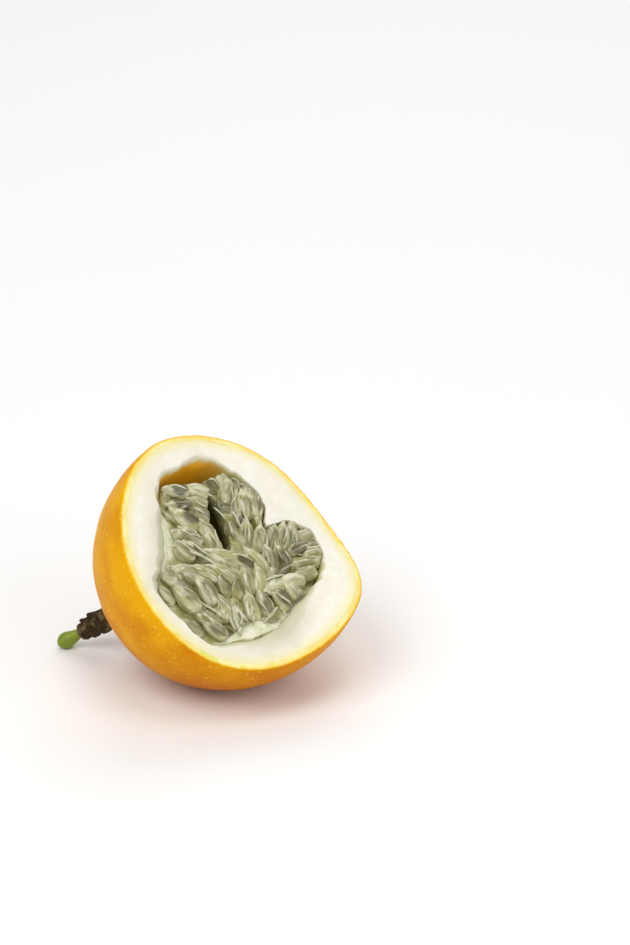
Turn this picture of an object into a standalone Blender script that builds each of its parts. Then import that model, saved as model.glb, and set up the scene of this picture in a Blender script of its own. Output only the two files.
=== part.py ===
"""Half of a sweet passion fruit, cut across and lying on its side, with the stub of its stalk.

The half is modelled in the frame of its cut: X and Y lie in the cut, Z leaves it. An empty turns
that frame so that the half rests on a small flat spot, whose middle is the world's origin. The
rind is one solid of skin and pith. The pulp is one solid too: a core that fills the bowl, with the
seed sacs that show fused on in rows. The stalk leaves the end of the fruit that lies down.
"""

import math
import random

import bmesh
import bpy
from mathutils import Matrix, Vector

MM = 0.001

# How the half lies
CUT_TILT = math.radians(37.3)
CUT_TURN = math.radians(46.0)
STALK_LEAN = math.radians(24.0)
STALK_SIDE = math.radians(142.6)
OVAL_TURN = math.radians(73.5)

# The fruit, before it is cut
FRUIT_RADIUS = 33.0 * MM
OVAL = 1.048
FRUIT_REACH = 37.4 * MM
NECK_END = 41.0 * MM
SHOULDER_LATITUDE = 50
LATITUDE_STEP = 7
FRUIT_SIDES = 60
FLAT_DEPTH = 0.6 * MM
NECK_OUTLINE = (
    (3.8, 41.0), (4.3, 39.8), (5.6, 38.5), (8.0, 37.1), (11.2, 35.5), (14.6, 33.6), (17.7, 31.3),
)

# The cut, a shallow saddle: its height, and the waves round its rim as (cosine, sine) sizes
CUT_HEIGHT = 3.27 * MM
CUT_WAVES = {2: (-2.06 * MM, -3.03 * MM), 3: (-1.41 * MM, 0.57 * MM), 4: (-0.28 * MM, 0.72 * MM)}
WAVE_RADIUS = 32.0 * MM
KNIFE_RADIUS = 48.0 * MM
KNIFE_TOP = 50.0 * MM
KNIFE_RINGS = 8
KNIFE_SIDES = 64

# The bowl in the pith: its lobed edge as (degrees, millimetres) round the cut
BOWL_EDGE = (
    (-176, 27.1), (-161, 27.6), (-140, 28.8), (-119, 25.4), (-99, 23.6), (-86, 21.6), (-76, 20.4),
    (-60, 21.0), (-46, 23.0), (-33, 24.4), (-18, 25.8), (-7, 25.8), (1, 22.6), (5, 18.6), (9, 12.4),
    (13, 13.2), (26, 18.4), (36, 21.2), (52, 23.9), (66, 26.8), (80, 26.2), (95, 25.2), (106, 25.6),
    (118, 23.4), (132, 19.6), (148, 18.4), (160, 19.0), (172, 22.0), (178, 25.4),
)
BOWL_DEPTH = 28.0 * MM
BOWL_RADIUS = 25.0 * MM
BOWL_SIDES = 72
BOWL_RINGS = 24
LOBE_DEPTH = 0.55
LIP_LIFT = 1.2 * MM
DOME_HEIGHT = 16.0 * MM
# Where the bowl's wall slopes back: middle and spread (degrees round the cut), and width
SLOPES = ((152, 38, 5.0 * MM), (-98, 32, 5.2 * MM))
GAP = 0.3 * MM

# The pulp
CORE_DROP = 4.2 * MM
CORE_LEVEL = 0.17
CORE_GAP = 0.7 * MM
SAC_LENGTH = 7.9 * MM
SAC_WIDTH = 4.7 * MM
SAC_SIDES = 8
SAC_RINGS = 5
SAC_TAPER = 0.22
PULP_KEEP = 0.75
FINEST = 0.02 * MM
SEED = 11
PLACE_SPREAD = 0.3 * MM
TURN_SPREAD = math.radians(7)
DIP_SPREAD = math.radians(5)
SIZE_SPREAD = 0.1
# Sacs that fill between the rows: grid, clear distance to other sacs, depth and distance from the edge
FILL_GRID = 2.6 * MM
FILL_CLEAR = 3.4 * MM
FILL_DROP = 4.4 * MM
FILL_EDGE = 2.0 * MM
# Rows of sacs: first middle and last middle as they show through the cut (mm), how many, the way
# the first and the last point (degrees in the cut), how deep they lie (mm) and dip (degrees).
# A sac lies off the place where it shows by SIGHT for each unit of its depth.
SIGHT = (0.93, 0.37)
SAC_ROWS = (
    ((-7.2, 19.4), (-11.4, 7.4), 4, -22, -47, 3.0, 14),
    ((-0.6, 17.6), (-7.2, 3.2), 5, -34, -70, 3.0, 16),
    ((4.4, 19.0), (12.8, 16.0), 3, -60, -95, 3.0, 20),
    ((15.6, 16.6), (14.0, 8.2), 3, -150, -140, 2.4, 12),
    ((7.6, 14.4), (11.2, 4.6), 3, -118, -116, 2.8, 18),
    ((5.8, 9.4), (3.2, 1.0), 3, -112, -118, 4.2, 28),
    ((7.2, -0.4), (18.0, -3.4), 4, -132, -112, 2.2, 30),
    ((22.0, -4.6), (19.8, -11.6), 3, -175, 150, 2.4, 14),
    ((16.4, -8.0), (14.0, -12.2), 2, 160, 150, 3.0, 16),
    ((-16.4, 4.6), (-5.8, -2.6), 4, -62, -50, 2.8, 12),
    ((-23.6, 0.4), (-9.0, -5.4), 4, -55, -50, 2.6, 10),
    ((-23.2, -3.6), (-19.6, -17.4), 5, -80, -57, 2.4, 8),
    ((-16.8, -7.6), (-13.0, -18.6), 3, -88, -100, 2.8, 12),
    ((-11.4, -7.6), (-1.8, -11.8), 4, -96, -116, 3.0, 16),
    ((-3.0, -5.6), (9.6, -8.0), 4, -60, -100, 3.0, 16),
    ((1.2, -15.2), (11.0, -15.4), 3, -8, -6, 2.8, 8),
    ((-8.8, -16.6), (4.8, -19.6), 4, -112, -60, 3.2, 14),
)
# Hollows in the pulp: middle (mm in the cut and below it), half sizes (mm) and turn (degrees)
TOP_HOLLOW = ((3.4, 24.6), 4.4, (14.0, 4.4, 9.0), -6)
MIDDLE_GAP = ((2.0, 9.0), 5.6, (9.0, 3.0, 8.5), 68)
HOLLOW_SIDES = 16
HOLLOW_RINGS = 10

# The stalk, along the fruit's own axis
STALK_SIDES = 16
STALK_OUTLINE = (
    (2.2, 52.4), (2.45, 52.0), (2.3, 50.6), (2.5, 50.1), (2.95, 49.8), (2.9, 48.4), (2.6, 47.9),
    (2.7, 46.4), (3.2, 46.0), (3.3, 44.6), (2.9, 44.1), (3.0, 42.4), (3.3, 41.3),
)
SCALE_SIZE = (1.5 * MM, 2.4 * MM, 2.6 * MM)
SCALE_TIP = 0.45
SCALE_LEAN = math.radians(16)
# Dry scales round the stalk: turn (degrees), height and distance from the axis (mm)
STALK_SCALES = ((10, 44.6, 2.6), (130, 46.2, 2.5), (250, 44.2, 2.6), (70, 49.4, 2.1), (190, 48.8, 2.2))
# The way the stalk bends, in the world, and how far at its end
STALK_BEND_WAY = (0.0, -0.91, 0.41)
STALK_BEND = 3.7 * MM
TIP_START = 52.7 * MM
TIP_LENGTH = 8.2 * MM
TIP_SIDES = 14
TIP_RINGS = 9
TIP_THIN = 1.25 * MM
TIP_THICK = 2.15 * MM
TIP_SWELL_END = 0.6
TIP_ROUND_START = 0.66
SHARP_ANGLE = math.radians(35)

COLLECTION = "passion_fruit_half"


def new_collection(name: str) -> bpy.types.Collection:
    """A collection of that name in the scene."""
    collection = bpy.data.collections.new(name)
    bpy.context.scene.collection.children.link(collection)
    return collection


def make_material(name: str, colour: tuple, roughness: float) -> bpy.types.Material:
    """A plain Principled material."""
    material = bpy.data.materials.new(name)
    material.use_nodes = True
    shader = material.node_tree.nodes["Principled BSDF"]
    shader.inputs["Base Color"].default_value = (*colour, 1.0)
    shader.inputs["Roughness"].default_value = roughness
    shader.inputs["Metallic"].default_value = 0.0
    return material


def add_object(name: str, mesh: bpy.types.Mesh, parent, collection, material) -> bpy.types.Object:
    """An object in the frame of its parent."""
    thing = bpy.data.objects.new(name, mesh)
    thing.parent = parent
    mesh.materials.clear()
    mesh.materials.append(material)
    collection.objects.link(thing)
    return thing


def mark_cutter(thing: bpy.types.Object) -> bpy.types.Object:
    """A cutter shows as wire and isn't part of the model."""
    thing.hide_render = True
    thing.display_type = "WIRE"
    return thing


def mesh_from(maker: bmesh.types.BMesh, name: str) -> bpy.types.Mesh:
    """The mesh of a bmesh, which is then freed."""
    mesh = bpy.data.meshes.new(name)
    maker.to_mesh(mesh)
    maker.free()
    return mesh


def turned(name: str, outline: list, sides: int) -> bpy.types.Mesh:
    """A closed turned body from an outline of (radius, height) that runs from top to bottom."""
    profile = bpy.data.meshes.new(name + "_profile")
    points = [(radius, 0.0, height) for radius, height in outline]
    profile.from_pydata(points, [(i, i + 1) for i in range(len(points) - 1)], [])
    thing = bpy.data.objects.new(name + "_profile", profile)
    bpy.context.scene.collection.objects.link(thing)
    screw = thing.modifiers.new("turn", "SCREW")
    screw.steps = sides
    screw.render_steps = sides
    screw.use_merge_vertices = True
    screw.merge_threshold = 0.01 * MM
    mesh = baked(thing, name)
    bpy.data.objects.remove(thing)
    return mesh


def baked(thing: bpy.types.Object, name: str) -> bpy.types.Mesh:
    """The mesh that the object's modifiers make."""
    bpy.context.view_layer.update()
    graph = bpy.context.evaluated_depsgraph_get()
    mesh = bpy.data.meshes.new_from_object(thing.evaluated_get(graph))
    mesh.name = name
    return mesh


def reshape(mesh: bpy.types.Mesh, place) -> bpy.types.Mesh:
    """Every vertex goes where the function puts it."""
    for vertex in mesh.vertices:
        vertex.co = place(vertex.co)
    return mesh


def boolean(thing: bpy.types.Object, operation: str, other: bpy.types.Object, solver="EXACT") -> None:
    """Cut or limit an object by another."""
    modifier = thing.modifiers.new(operation.lower() + "_" + other.name, "BOOLEAN")
    modifier.operation = operation
    modifier.object = other
    modifier.solver = solver
    modifier.material_mode = "TRANSFER"


def fuse(thing: bpy.types.Object, pieces: bpy.types.Collection, name: str) -> None:
    """Join the pieces to an object for good, and remove them."""
    modifier = thing.modifiers.new("fuse", "BOOLEAN")
    modifier.operation = "UNION"
    modifier.operand_type = "COLLECTION"
    modifier.collection = pieces
    modifier.solver = "EXACT"
    mesh = baked(thing, name)
    thing.modifiers.clear()
    thing.data = mesh
    for piece in list(pieces.objects):
        bpy.data.objects.remove(piece)
    bpy.data.collections.remove(pieces)


def settle(thing: bpy.types.Object) -> None:
    """Apply what shapes an object and keep its largest closed body: scraps and sealed hollows go."""
    mesh = baked(thing, thing.name)
    thing.modifiers.clear()
    thing.data = mesh
    maker = bmesh.new()
    maker.from_mesh(mesh)
    bmesh.ops.triangulate(maker, faces=maker.faces)
    bmesh.ops.dissolve_degenerate(maker, dist=FINEST, edges=maker.edges)
    bmesh.ops.triangulate(maker, faces=maker.faces)
    bodies = []
    waiting = set(maker.faces)
    while waiting:
        front = [waiting.pop()]
        body = list(front)
        while front:
            face = front.pop()
            near = {other for edge in face.edges for other in edge.link_faces} & waiting
            waiting -= near
            front.extend(near)
            body.extend(near)
        bodies.append(body)
    bodies.sort(key=lambda body: sum(face.calc_area() for face in body))
    for body in bodies[:-1]:
        bmesh.ops.delete(maker, geom=body, context="FACES")
    maker.to_mesh(mesh)
    maker.free()
    mesh.shade_smooth()
    mesh.set_sharp_from_angle(angle=SHARP_ANGLE)


def fruit_turn() -> Matrix:
    """The fruit's own frame in the frame of the cut: Z runs to the stalk, X is the wide way."""
    side = Matrix.Rotation(STALK_SIDE, 3, "Z")
    lean = Matrix.Rotation(math.pi - STALK_LEAN, 3, "Y")
    return side @ lean @ Matrix.Rotation(OVAL_TURN, 3, "Z")


def cut_turn() -> Matrix:
    """The frame of the cut in the world."""
    return Matrix.Rotation(CUT_TURN, 3, "Z") @ Matrix.Rotation(CUT_TILT, 3, "X")


def resting_place() -> Vector:
    """Where the fruit's middle is when its flat spot lies at the origin."""
    sizes = Matrix.Diagonal((FRUIT_RADIUS * OVAL, FRUIT_RADIUS, FRUIT_REACH))
    axes = cut_turn() @ fruit_turn() @ sizes
    pull = axes.transposed() @ Vector((0.0, 0.0, 1.0))
    return axes @ pull / pull.length * (1.0 - FLAT_DEPTH / pull.length)


def add_frame(name: str, matrix: Matrix, parent, collection) -> bpy.types.Object:
    """An empty that carries a frame."""
    empty = bpy.data.objects.new(name, None)
    empty.empty_display_size = 10.0 * MM
    empty.parent = parent
    empty.matrix_local = matrix
    collection.objects.link(empty)
    return empty


def cut_height(x: float, y: float) -> float:
    """Height of the wavy cut over a place in its frame."""
    angle = math.atan2(y, x)
    reach = min(math.hypot(x, y) / WAVE_RADIUS, 1.0) ** 2
    waves = sum(c * math.cos(n * angle) + s * math.sin(n * angle) for n, (c, s) in CUT_WAVES.items())
    return CUT_HEIGHT + reach * waves


def bowl_edge(angle: float) -> float:
    """Distance from the middle of the cut to the edge of the bowl, smooth between its points."""
    degrees = math.degrees(angle)
    points = BOWL_EDGE + ((BOWL_EDGE[0][0] + 360, BOWL_EDGE[0][1]),)
    if degrees < points[0][0]:
        degrees += 360
    for (start, first), (end, last) in zip(points, points[1:]):
        if degrees <= end:
            share = (degrees - start) / (end - start)
            ease = share * share * (3.0 - 2.0 * share)
            return (first + (last - first) * ease) * MM
    raise ValueError("an angle lies outside the circle")


def slope_width(angle: float) -> float:
    """How far the bowl's wall slopes back, at the left and at the bottom of the cut."""
    width = 0.0
    for middle, spread, most in SLOPES:
        away = (math.degrees(angle) - middle + 180.0) % 360.0 - 180.0
        width += most * math.exp(-((away / spread) ** 2))
    return width


def bowl_point(way: Vector, shrink: float) -> Vector:
    """A point of the bowl from a point of the unit sphere; the sphere's equator is the lip."""
    angle = math.atan2(way.y, way.x)
    flat = math.hypot(way.x, way.y)
    down = max(-way.z, 0.0)
    fade = min(down / LOBE_DEPTH, 1.0)
    fade = fade * fade * (3.0 - 2.0 * fade)
    radius = bowl_edge(angle) * (1.0 - fade) + BOWL_RADIUS * fade - shrink
    lip = cut_height(radius * math.cos(angle), radius * math.sin(angle)) + LIP_LIFT
    if way.z > -0.01:
        radius += slope_width(angle)
    x = radius * flat * math.cos(angle)
    y = radius * flat * math.sin(angle)
    if way.z > 0.0:
        return Vector((x, y, lip + DOME_HEIGHT * way.z))
    return Vector((x, y, lip * (1.0 - down) - (BOWL_DEPTH - shrink) * down))


def core_point(way: Vector) -> Vector:
    """A point of the pulp's core: the bowl's form below, and a top that follows the cut."""
    angle = math.atan2(way.y, way.x)
    down = CORE_LEVEL + (1.0 - CORE_LEVEL) * max(-way.z, 0.0)
    flat = math.sqrt(1.0 - min(down, 1.0) ** 2)
    wall = bowl_point(Vector((flat * math.cos(angle), flat * math.sin(angle), -down)), CORE_GAP)
    if way.z <= 0.0:
        return wall
    share = math.hypot(way.x, way.y)
    x, y = wall.x * share, wall.y * share
    step = wall.z - cut_height(wall.x, wall.y) + CORE_DROP
    return Vector((x, y, cut_height(x, y) - CORE_DROP + step * share**4))


def unit_sphere(sides: int, rings: int, name: str) -> bpy.types.Mesh:
    """A sphere of radius one."""
    maker = bmesh.new()
    bmesh.ops.create_uvsphere(maker, u_segments=sides, v_segments=rings, radius=1.0)
    return mesh_from(maker, name)


def hollow_mesh(spec: tuple, name: str) -> bpy.types.Mesh:
    """A round hollow, for the pulp to be cut by."""
    (x, y), drop, sizes, turn = spec
    x, y = x * MM, y * MM
    place = Matrix.Translation((x, y, cut_height(x, y) - drop * MM))
    mesh = unit_sphere(HOLLOW_SIDES, HOLLOW_RINGS, name)
    mesh.transform(Matrix.Diagonal(Vector(sizes) * MM).to_4x4())
    mesh.transform(place @ Matrix.Rotation(math.radians(turn), 4, "Z"))
    return mesh


def make_shell(parent, collection, cutters, skin, pith) -> bpy.types.Object:
    """Rind and pith as one solid: the turned fruit, less what the knife and the bowl take away."""
    outline = [(0.0, NECK_END)]
    outline += [(radius * MM, height * MM) for radius, height in NECK_OUTLINE]
    for degrees in range(SHOULDER_LATITUDE, -90, -LATITUDE_STEP):
        latitude = math.radians(degrees)
        outline.append((FRUIT_RADIUS * math.cos(latitude), FRUIT_REACH * math.sin(latitude)))
    outline.append((0.0, -FRUIT_REACH))
    mesh = turned("shell", outline, FRUIT_SIDES)
    mesh.transform((fruit_turn() @ Matrix.Diagonal((OVAL, 1.0, 1.0))).to_4x4())
    shell = add_object("shell", mesh, parent, collection, skin)
    boolean(shell, "DIFFERENCE", make_floor(cutters, skin))
    boolean(shell, "DIFFERENCE", make_knife(parent, cutters, pith))
    bowl = reshape(unit_sphere(BOWL_SIDES, BOWL_RINGS, "bowl"), lambda way: bowl_point(way, 0.0))
    boolean(shell, "DIFFERENCE", mark_cutter(add_object("bowl", bowl, parent, cutters, pith)))
    settle(shell)
    return shell


def make_knife(parent, cutters, pith) -> bpy.types.Object:
    """A drum over the cut, whose underside has the saddle's waves."""
    outline = [(0.0, KNIFE_TOP), (KNIFE_RADIUS, KNIFE_TOP)]
    outline += [(KNIFE_RADIUS * ring / KNIFE_RINGS, 0.0) for ring in range(KNIFE_RINGS, -1, -1)]
    mesh = turned("knife", outline, KNIFE_SIDES)
    low = KNIFE_TOP / 2.0
    reshape(mesh, lambda co: Vector((co.x, co.y, cut_height(co.x, co.y))) if co.z < low else co)
    return mark_cutter(add_object("knife", mesh, parent, cutters, pith))


def make_floor(cutters, skin) -> bpy.types.Object:
    """A block under the surface that the half stands on."""
    maker = bmesh.new()
    bmesh.ops.create_cube(maker, size=2.0 * KNIFE_RADIUS)
    bmesh.ops.translate(maker, vec=(0.0, 0.0, -KNIFE_RADIUS), verts=maker.verts)
    return mark_cutter(add_object("floor", mesh_from(maker, "floor"), None, cutters, skin))


def sac_mesh(middle: Vector, heading: float, dip: float, size: float) -> bpy.types.Mesh:
    """One seed sac: a long ball, thinner at the end that hangs on the wall."""
    mesh = unit_sphere(SAC_SIDES, SAC_RINGS, "sac")
    mesh.transform(Matrix.Rotation(math.pi / 2.0, 4, "Y"))

    def shape(co: Vector) -> Vector:
        width = SAC_WIDTH / 2.0 * size * (1.0 + SAC_TAPER * co.x)
        return Vector((co.x * SAC_LENGTH / 2.0 * size, co.y * width, co.z * width))

    reshape(mesh, shape)
    turn = Matrix.Rotation(heading, 4, "Z") @ Matrix.Rotation(dip, 4, "Y")
    mesh.transform(Matrix.Translation(middle) @ turn)
    return mesh


def in_hollow(x: float, y: float) -> bool:
    """Whether a place in the cut lies over one of the pulp's hollows."""
    for (middle_x, middle_y), _, (long, wide, _), turn in (TOP_HOLLOW, MIDDLE_GAP):
        away = Matrix.Rotation(-math.radians(turn), 2) @ Vector((x / MM - middle_x, y / MM - middle_y))
        if (away.x / long) ** 2 + (away.y / wide) ** 2 < 1.0:
            return True
    return False


def sac_places() -> list:
    """Every sac as (middle, heading, dip, size): the rows first, then what fills between them."""
    draw = random.Random(SEED)
    places = []
    for first, last, count, start_way, end_way, drop, dip in SAC_ROWS:
        for index in range(count):
            share = index / (count - 1)
            depth = drop * MM + draw.uniform(-PLACE_SPREAD, PLACE_SPREAD)
            x = (first[0] + (last[0] - first[0]) * share) * MM + SIGHT[0] * depth
            y = (first[1] + (last[1] - first[1]) * share) * MM + SIGHT[1] * depth
            x += draw.uniform(-PLACE_SPREAD, PLACE_SPREAD)
            y += draw.uniform(-PLACE_SPREAD, PLACE_SPREAD)
            heading = math.radians(start_way + (end_way - start_way) * share)
            heading += draw.uniform(-TURN_SPREAD, TURN_SPREAD)
            pitch = math.radians(dip) + draw.uniform(-DIP_SPREAD, DIP_SPREAD)
            size = 1.0 + draw.uniform(-SIZE_SPREAD, SIZE_SPREAD)
            places.append((Vector((x, y, cut_height(x, y) - depth)), heading, pitch, size))
    return places + fill_places(places, draw)


def fill_places(places: list, draw: random.Random) -> list:
    """Deeper sacs wherever the rows leave the core bare, but for its hollows."""
    fill = []
    reach = int(1.2 * BOWL_RADIUS / FILL_GRID)
    for row in range(-reach, reach + 1):
        for column in range(-reach, reach + 1):
            x = (column + 0.5 * (row % 2)) * FILL_GRID
            y = row * FILL_GRID
            inside = bowl_edge(math.atan2(y, x)) - FILL_EDGE
            near = min(math.hypot(x - place[0].x, y - place[0].y) for place in places + fill)
            if math.hypot(x, y) > inside or near < FILL_CLEAR or in_hollow(x, y):
                continue
            middle = Vector((x, y, cut_height(x, y) - FILL_DROP))
            pitch = draw.uniform(0.0, 4.0 * DIP_SPREAD)
            fill.append((middle, draw.uniform(-math.pi, math.pi), pitch, 1.0 - SIZE_SPREAD))
    return fill


def make_pulp(parent, collection, cutters, jelly) -> bpy.types.Object:
    """The pulp: a core in the bowl, less its hollows, with the sacs fused on."""
    core = reshape(unit_sphere(BOWL_SIDES // 2, BOWL_RINGS // 2, "pulp"), core_point)
    pulp = add_object("pulp", core, parent, collection, jelly)
    for name, spec in (("top_hollow", TOP_HOLLOW), ("middle_gap", MIDDLE_GAP)):
        cutter = add_object(name, hollow_mesh(spec, name), parent, cutters, jelly)
        boolean(pulp, "DIFFERENCE", mark_cutter(cutter))
    sacs = new_collection("sacs")
    for index, place in enumerate(sac_places()):
        add_object(f"sac_{index}", sac_mesh(*place), parent, sacs, jelly)
    fuse(pulp, sacs, "pulp")
    limit = reshape(unit_sphere(BOWL_SIDES, BOWL_RINGS, "limit"), lambda way: bowl_point(way, GAP))
    limit = mark_cutter(add_object("limit", limit, parent, cutters, jelly))
    boolean(pulp, "INTERSECT", limit, "MANIFOLD")
    thin_out = pulp.modifiers.new("thin_out", "DECIMATE")
    thin_out.ratio = PULP_KEEP
    settle(pulp)
    return pulp


def bent(co: Vector) -> Vector:
    """A point of the straight stalk, moved to where the bent stalk has it."""
    way = (cut_turn() @ fruit_turn()).inverted() @ Vector(STALK_BEND_WAY)
    share = max((co.z - NECK_END) / (TIP_START + TIP_LENGTH - NECK_END), 0.0)
    return co + way * (STALK_BEND * share * share)


def make_stalk(parent, collection, bark) -> bpy.types.Object:
    """The brown stub: a knobbly turned body with dry scales fused on."""
    outline = [(0.0, STALK_OUTLINE[0][1] * MM)]
    outline += [(radius * MM, height * MM) for radius, height in STALK_OUTLINE]
    outline.append((0.0, STALK_OUTLINE[-1][1] * MM))
    stalk = add_object("stalk", turned("stalk", outline, STALK_SIDES), parent, collection, bark)
    scales = new_collection("scales")
    for index, (turn, height, reach) in enumerate(STALK_SCALES):
        maker = bmesh.new()
        bmesh.ops.create_cube(maker, size=1.0)
        for vertex in maker.verts:
            narrow = SCALE_TIP if vertex.co.z > 0.0 else 1.0
            vertex.co = Vector((vertex.co.x * narrow, vertex.co.y * narrow, vertex.co.z))
        mesh = mesh_from(maker, "scale")
        mesh.transform(Matrix.Diagonal((*SCALE_SIZE, 1.0)))
        mesh.transform(Matrix.Rotation(SCALE_LEAN, 4, "Y"))
        mesh.transform(Matrix.Translation((reach * MM, 0.0, height * MM)))
        mesh.transform(Matrix.Rotation(math.radians(turn), 4, "Z"))
        add_object(f"scale_{index}", mesh, parent, scales, bark)
    fuse(stalk, scales, "stalk")
    reshape(stalk.data, bent)
    settle(stalk)
    return stalk


def make_stalk_tip(parent, collection, green) -> bpy.types.Object:
    """The green stub beyond the brown one: thin at its start, swelling to a round end."""
    outline = [(0.0, TIP_START + TIP_LENGTH)]
    for ring in range(1, TIP_RINGS):
        share = 1.0 - ring / (TIP_RINGS - 1)
        swell = TIP_THIN + (TIP_THICK - TIP_THIN) * min(share / TIP_SWELL_END, 1.0) ** 1.5
        cap = max(share - TIP_ROUND_START, 0.0) / (1.0 - TIP_ROUND_START)
        round_end = math.sqrt(1.0 - cap * cap)
        outline.append((swell * round_end, TIP_START + TIP_LENGTH * share))
    outline.append((0.0, TIP_START))
    mesh = reshape(turned("stalk_tip", outline, TIP_SIDES), bent)
    tip = add_object("stalk_tip", mesh, parent, collection, green)
    settle(tip)
    return tip


def main() -> None:
    """Clear the scene and build the half."""
    for thing in list(bpy.data.objects):
        bpy.data.objects.remove(thing)
    collection = new_collection(COLLECTION)
    cutters = new_collection("cutters")
    skin = make_material("skin", (0.80, 0.33, 0.005), 0.42)
    pith = make_material("pith", (0.90, 0.88, 0.78), 0.65)
    jelly = make_material("jelly", (0.34, 0.35, 0.20), 0.20)
    bark = make_material("bark", (0.06, 0.035, 0.012), 0.85)
    green = make_material("green_stalk", (0.20, 0.28, 0.01), 0.45)
    cut_matrix = Matrix.Translation(resting_place()) @ cut_turn().to_4x4()
    half_frame = add_frame("half_frame", cut_matrix, None, collection)
    stalk_frame = add_frame("stalk_frame", fruit_turn().to_4x4(), half_frame, collection)
    make_shell(half_frame, collection, cutters, skin, pith)
    make_pulp(half_frame, collection, cutters, jelly)
    make_stalk(stalk_frame, collection, bark)
    make_stalk_tip(stalk_frame, collection, green)


main()
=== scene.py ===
"""Looks of the passion fruit half: fine skin, pith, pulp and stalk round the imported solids.

Shapes are worked out in millimetres in the frame of the cut, as the solids are: X and Y lie in the
cut and Z leaves it. A point goes to metres, in the frame of the whole, when it is placed.
"""

import logging
import math
import random
from dataclasses import dataclass
from enum import Enum
from functools import cached_property
from typing import Callable, Iterable, Sequence, Union

import bmesh
import bpy
from mathutils import Matrix, Vector, noise


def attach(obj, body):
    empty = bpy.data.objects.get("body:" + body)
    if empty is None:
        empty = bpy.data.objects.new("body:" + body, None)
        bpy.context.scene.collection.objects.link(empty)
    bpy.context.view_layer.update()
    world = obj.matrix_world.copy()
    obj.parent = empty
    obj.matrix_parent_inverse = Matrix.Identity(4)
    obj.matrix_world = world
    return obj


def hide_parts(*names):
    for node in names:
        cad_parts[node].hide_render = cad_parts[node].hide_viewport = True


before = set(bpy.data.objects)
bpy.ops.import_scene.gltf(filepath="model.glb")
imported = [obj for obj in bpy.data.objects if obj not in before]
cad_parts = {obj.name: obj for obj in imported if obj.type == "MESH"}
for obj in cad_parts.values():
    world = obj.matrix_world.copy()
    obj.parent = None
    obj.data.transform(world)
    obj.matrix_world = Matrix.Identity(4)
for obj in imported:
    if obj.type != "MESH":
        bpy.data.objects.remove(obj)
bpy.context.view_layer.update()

MM = 0.001
# Vertices nearer than this are merged (mm)
WELD = 0.002
BODY = "root"
log = logging.getLogger("passion_fruit_half")

Colour = tuple[float, float, float]
Ends = tuple[float, float]
Path = Callable[[float], Vector]


def between(ends: Ends, share: float) -> float:
    """The number at that share of the way from the first end to the last."""
    return ends[0] + (ends[1] - ends[0]) * share


def tint(red: int, green: int, blue: int) -> Colour:
    """A linear colour from the 0 to 255 values that a screen shows."""
    shares = (value / 255 for value in (red, green, blue))
    return tuple(((v + 0.055) / 1.055) ** 2.4 if v > 0.04 else v / 12.92 for v in shares)


def ease(share: float) -> float:
    """A smooth step between 0 and 1."""
    share = min(max(share, 0.0), 1.0)
    return share * share * (3.0 - 2.0 * share)


# The form of the half

# The waves round the rim of the cut, as cosine and sine sizes for each number of waves
CUT_WAVES = {2: (-2.06, -3.03), 3: (-1.41, 0.57), 4: (-0.28, 0.72)}
# The lobed edge of the bowl: degrees round the cut and distance from its middle
BOWL_EDGE = (
    (-176, 27.1), (-161, 27.6), (-140, 28.8), (-119, 25.4), (-99, 23.6), (-86, 21.6), (-76, 20.4),
    (-60, 21.0), (-46, 23.0), (-33, 24.4), (-18, 25.8), (-7, 25.8), (1, 22.6), (5, 18.6), (9, 12.4),
    (13, 13.2), (26, 18.4), (36, 21.2), (52, 23.9), (66, 26.8), (80, 26.2), (95, 25.2), (106, 25.6),
    (118, 23.4), (132, 19.6), (148, 18.4), (160, 19.0), (172, 22.0), (178, 25.4),
)
# Where the bowl's wall slopes back: middle and spread in degrees round the cut, and width
SLOPES = ((152, 38, 5.0), (-98, 32, 5.2), (75, 8, 1.7))
# Where the sacs stay back from the wall: middle and spread in degrees round the cut, and how far
SHELVES = ((152, 30, 1.8), (-113, 16, 4.4), (50, 13, 1.5))
# The neck's outline above the shoulder, as radius and height along the fruit's axis
NECK_OUTLINE = (
    (21.2, 28.65), (17.7, 31.3), (14.6, 33.6), (11.2, 35.5), (8.0, 37.1), (5.6, 38.5), (4.3, 39.8),
    (3.8, 41.0),
)


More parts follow.
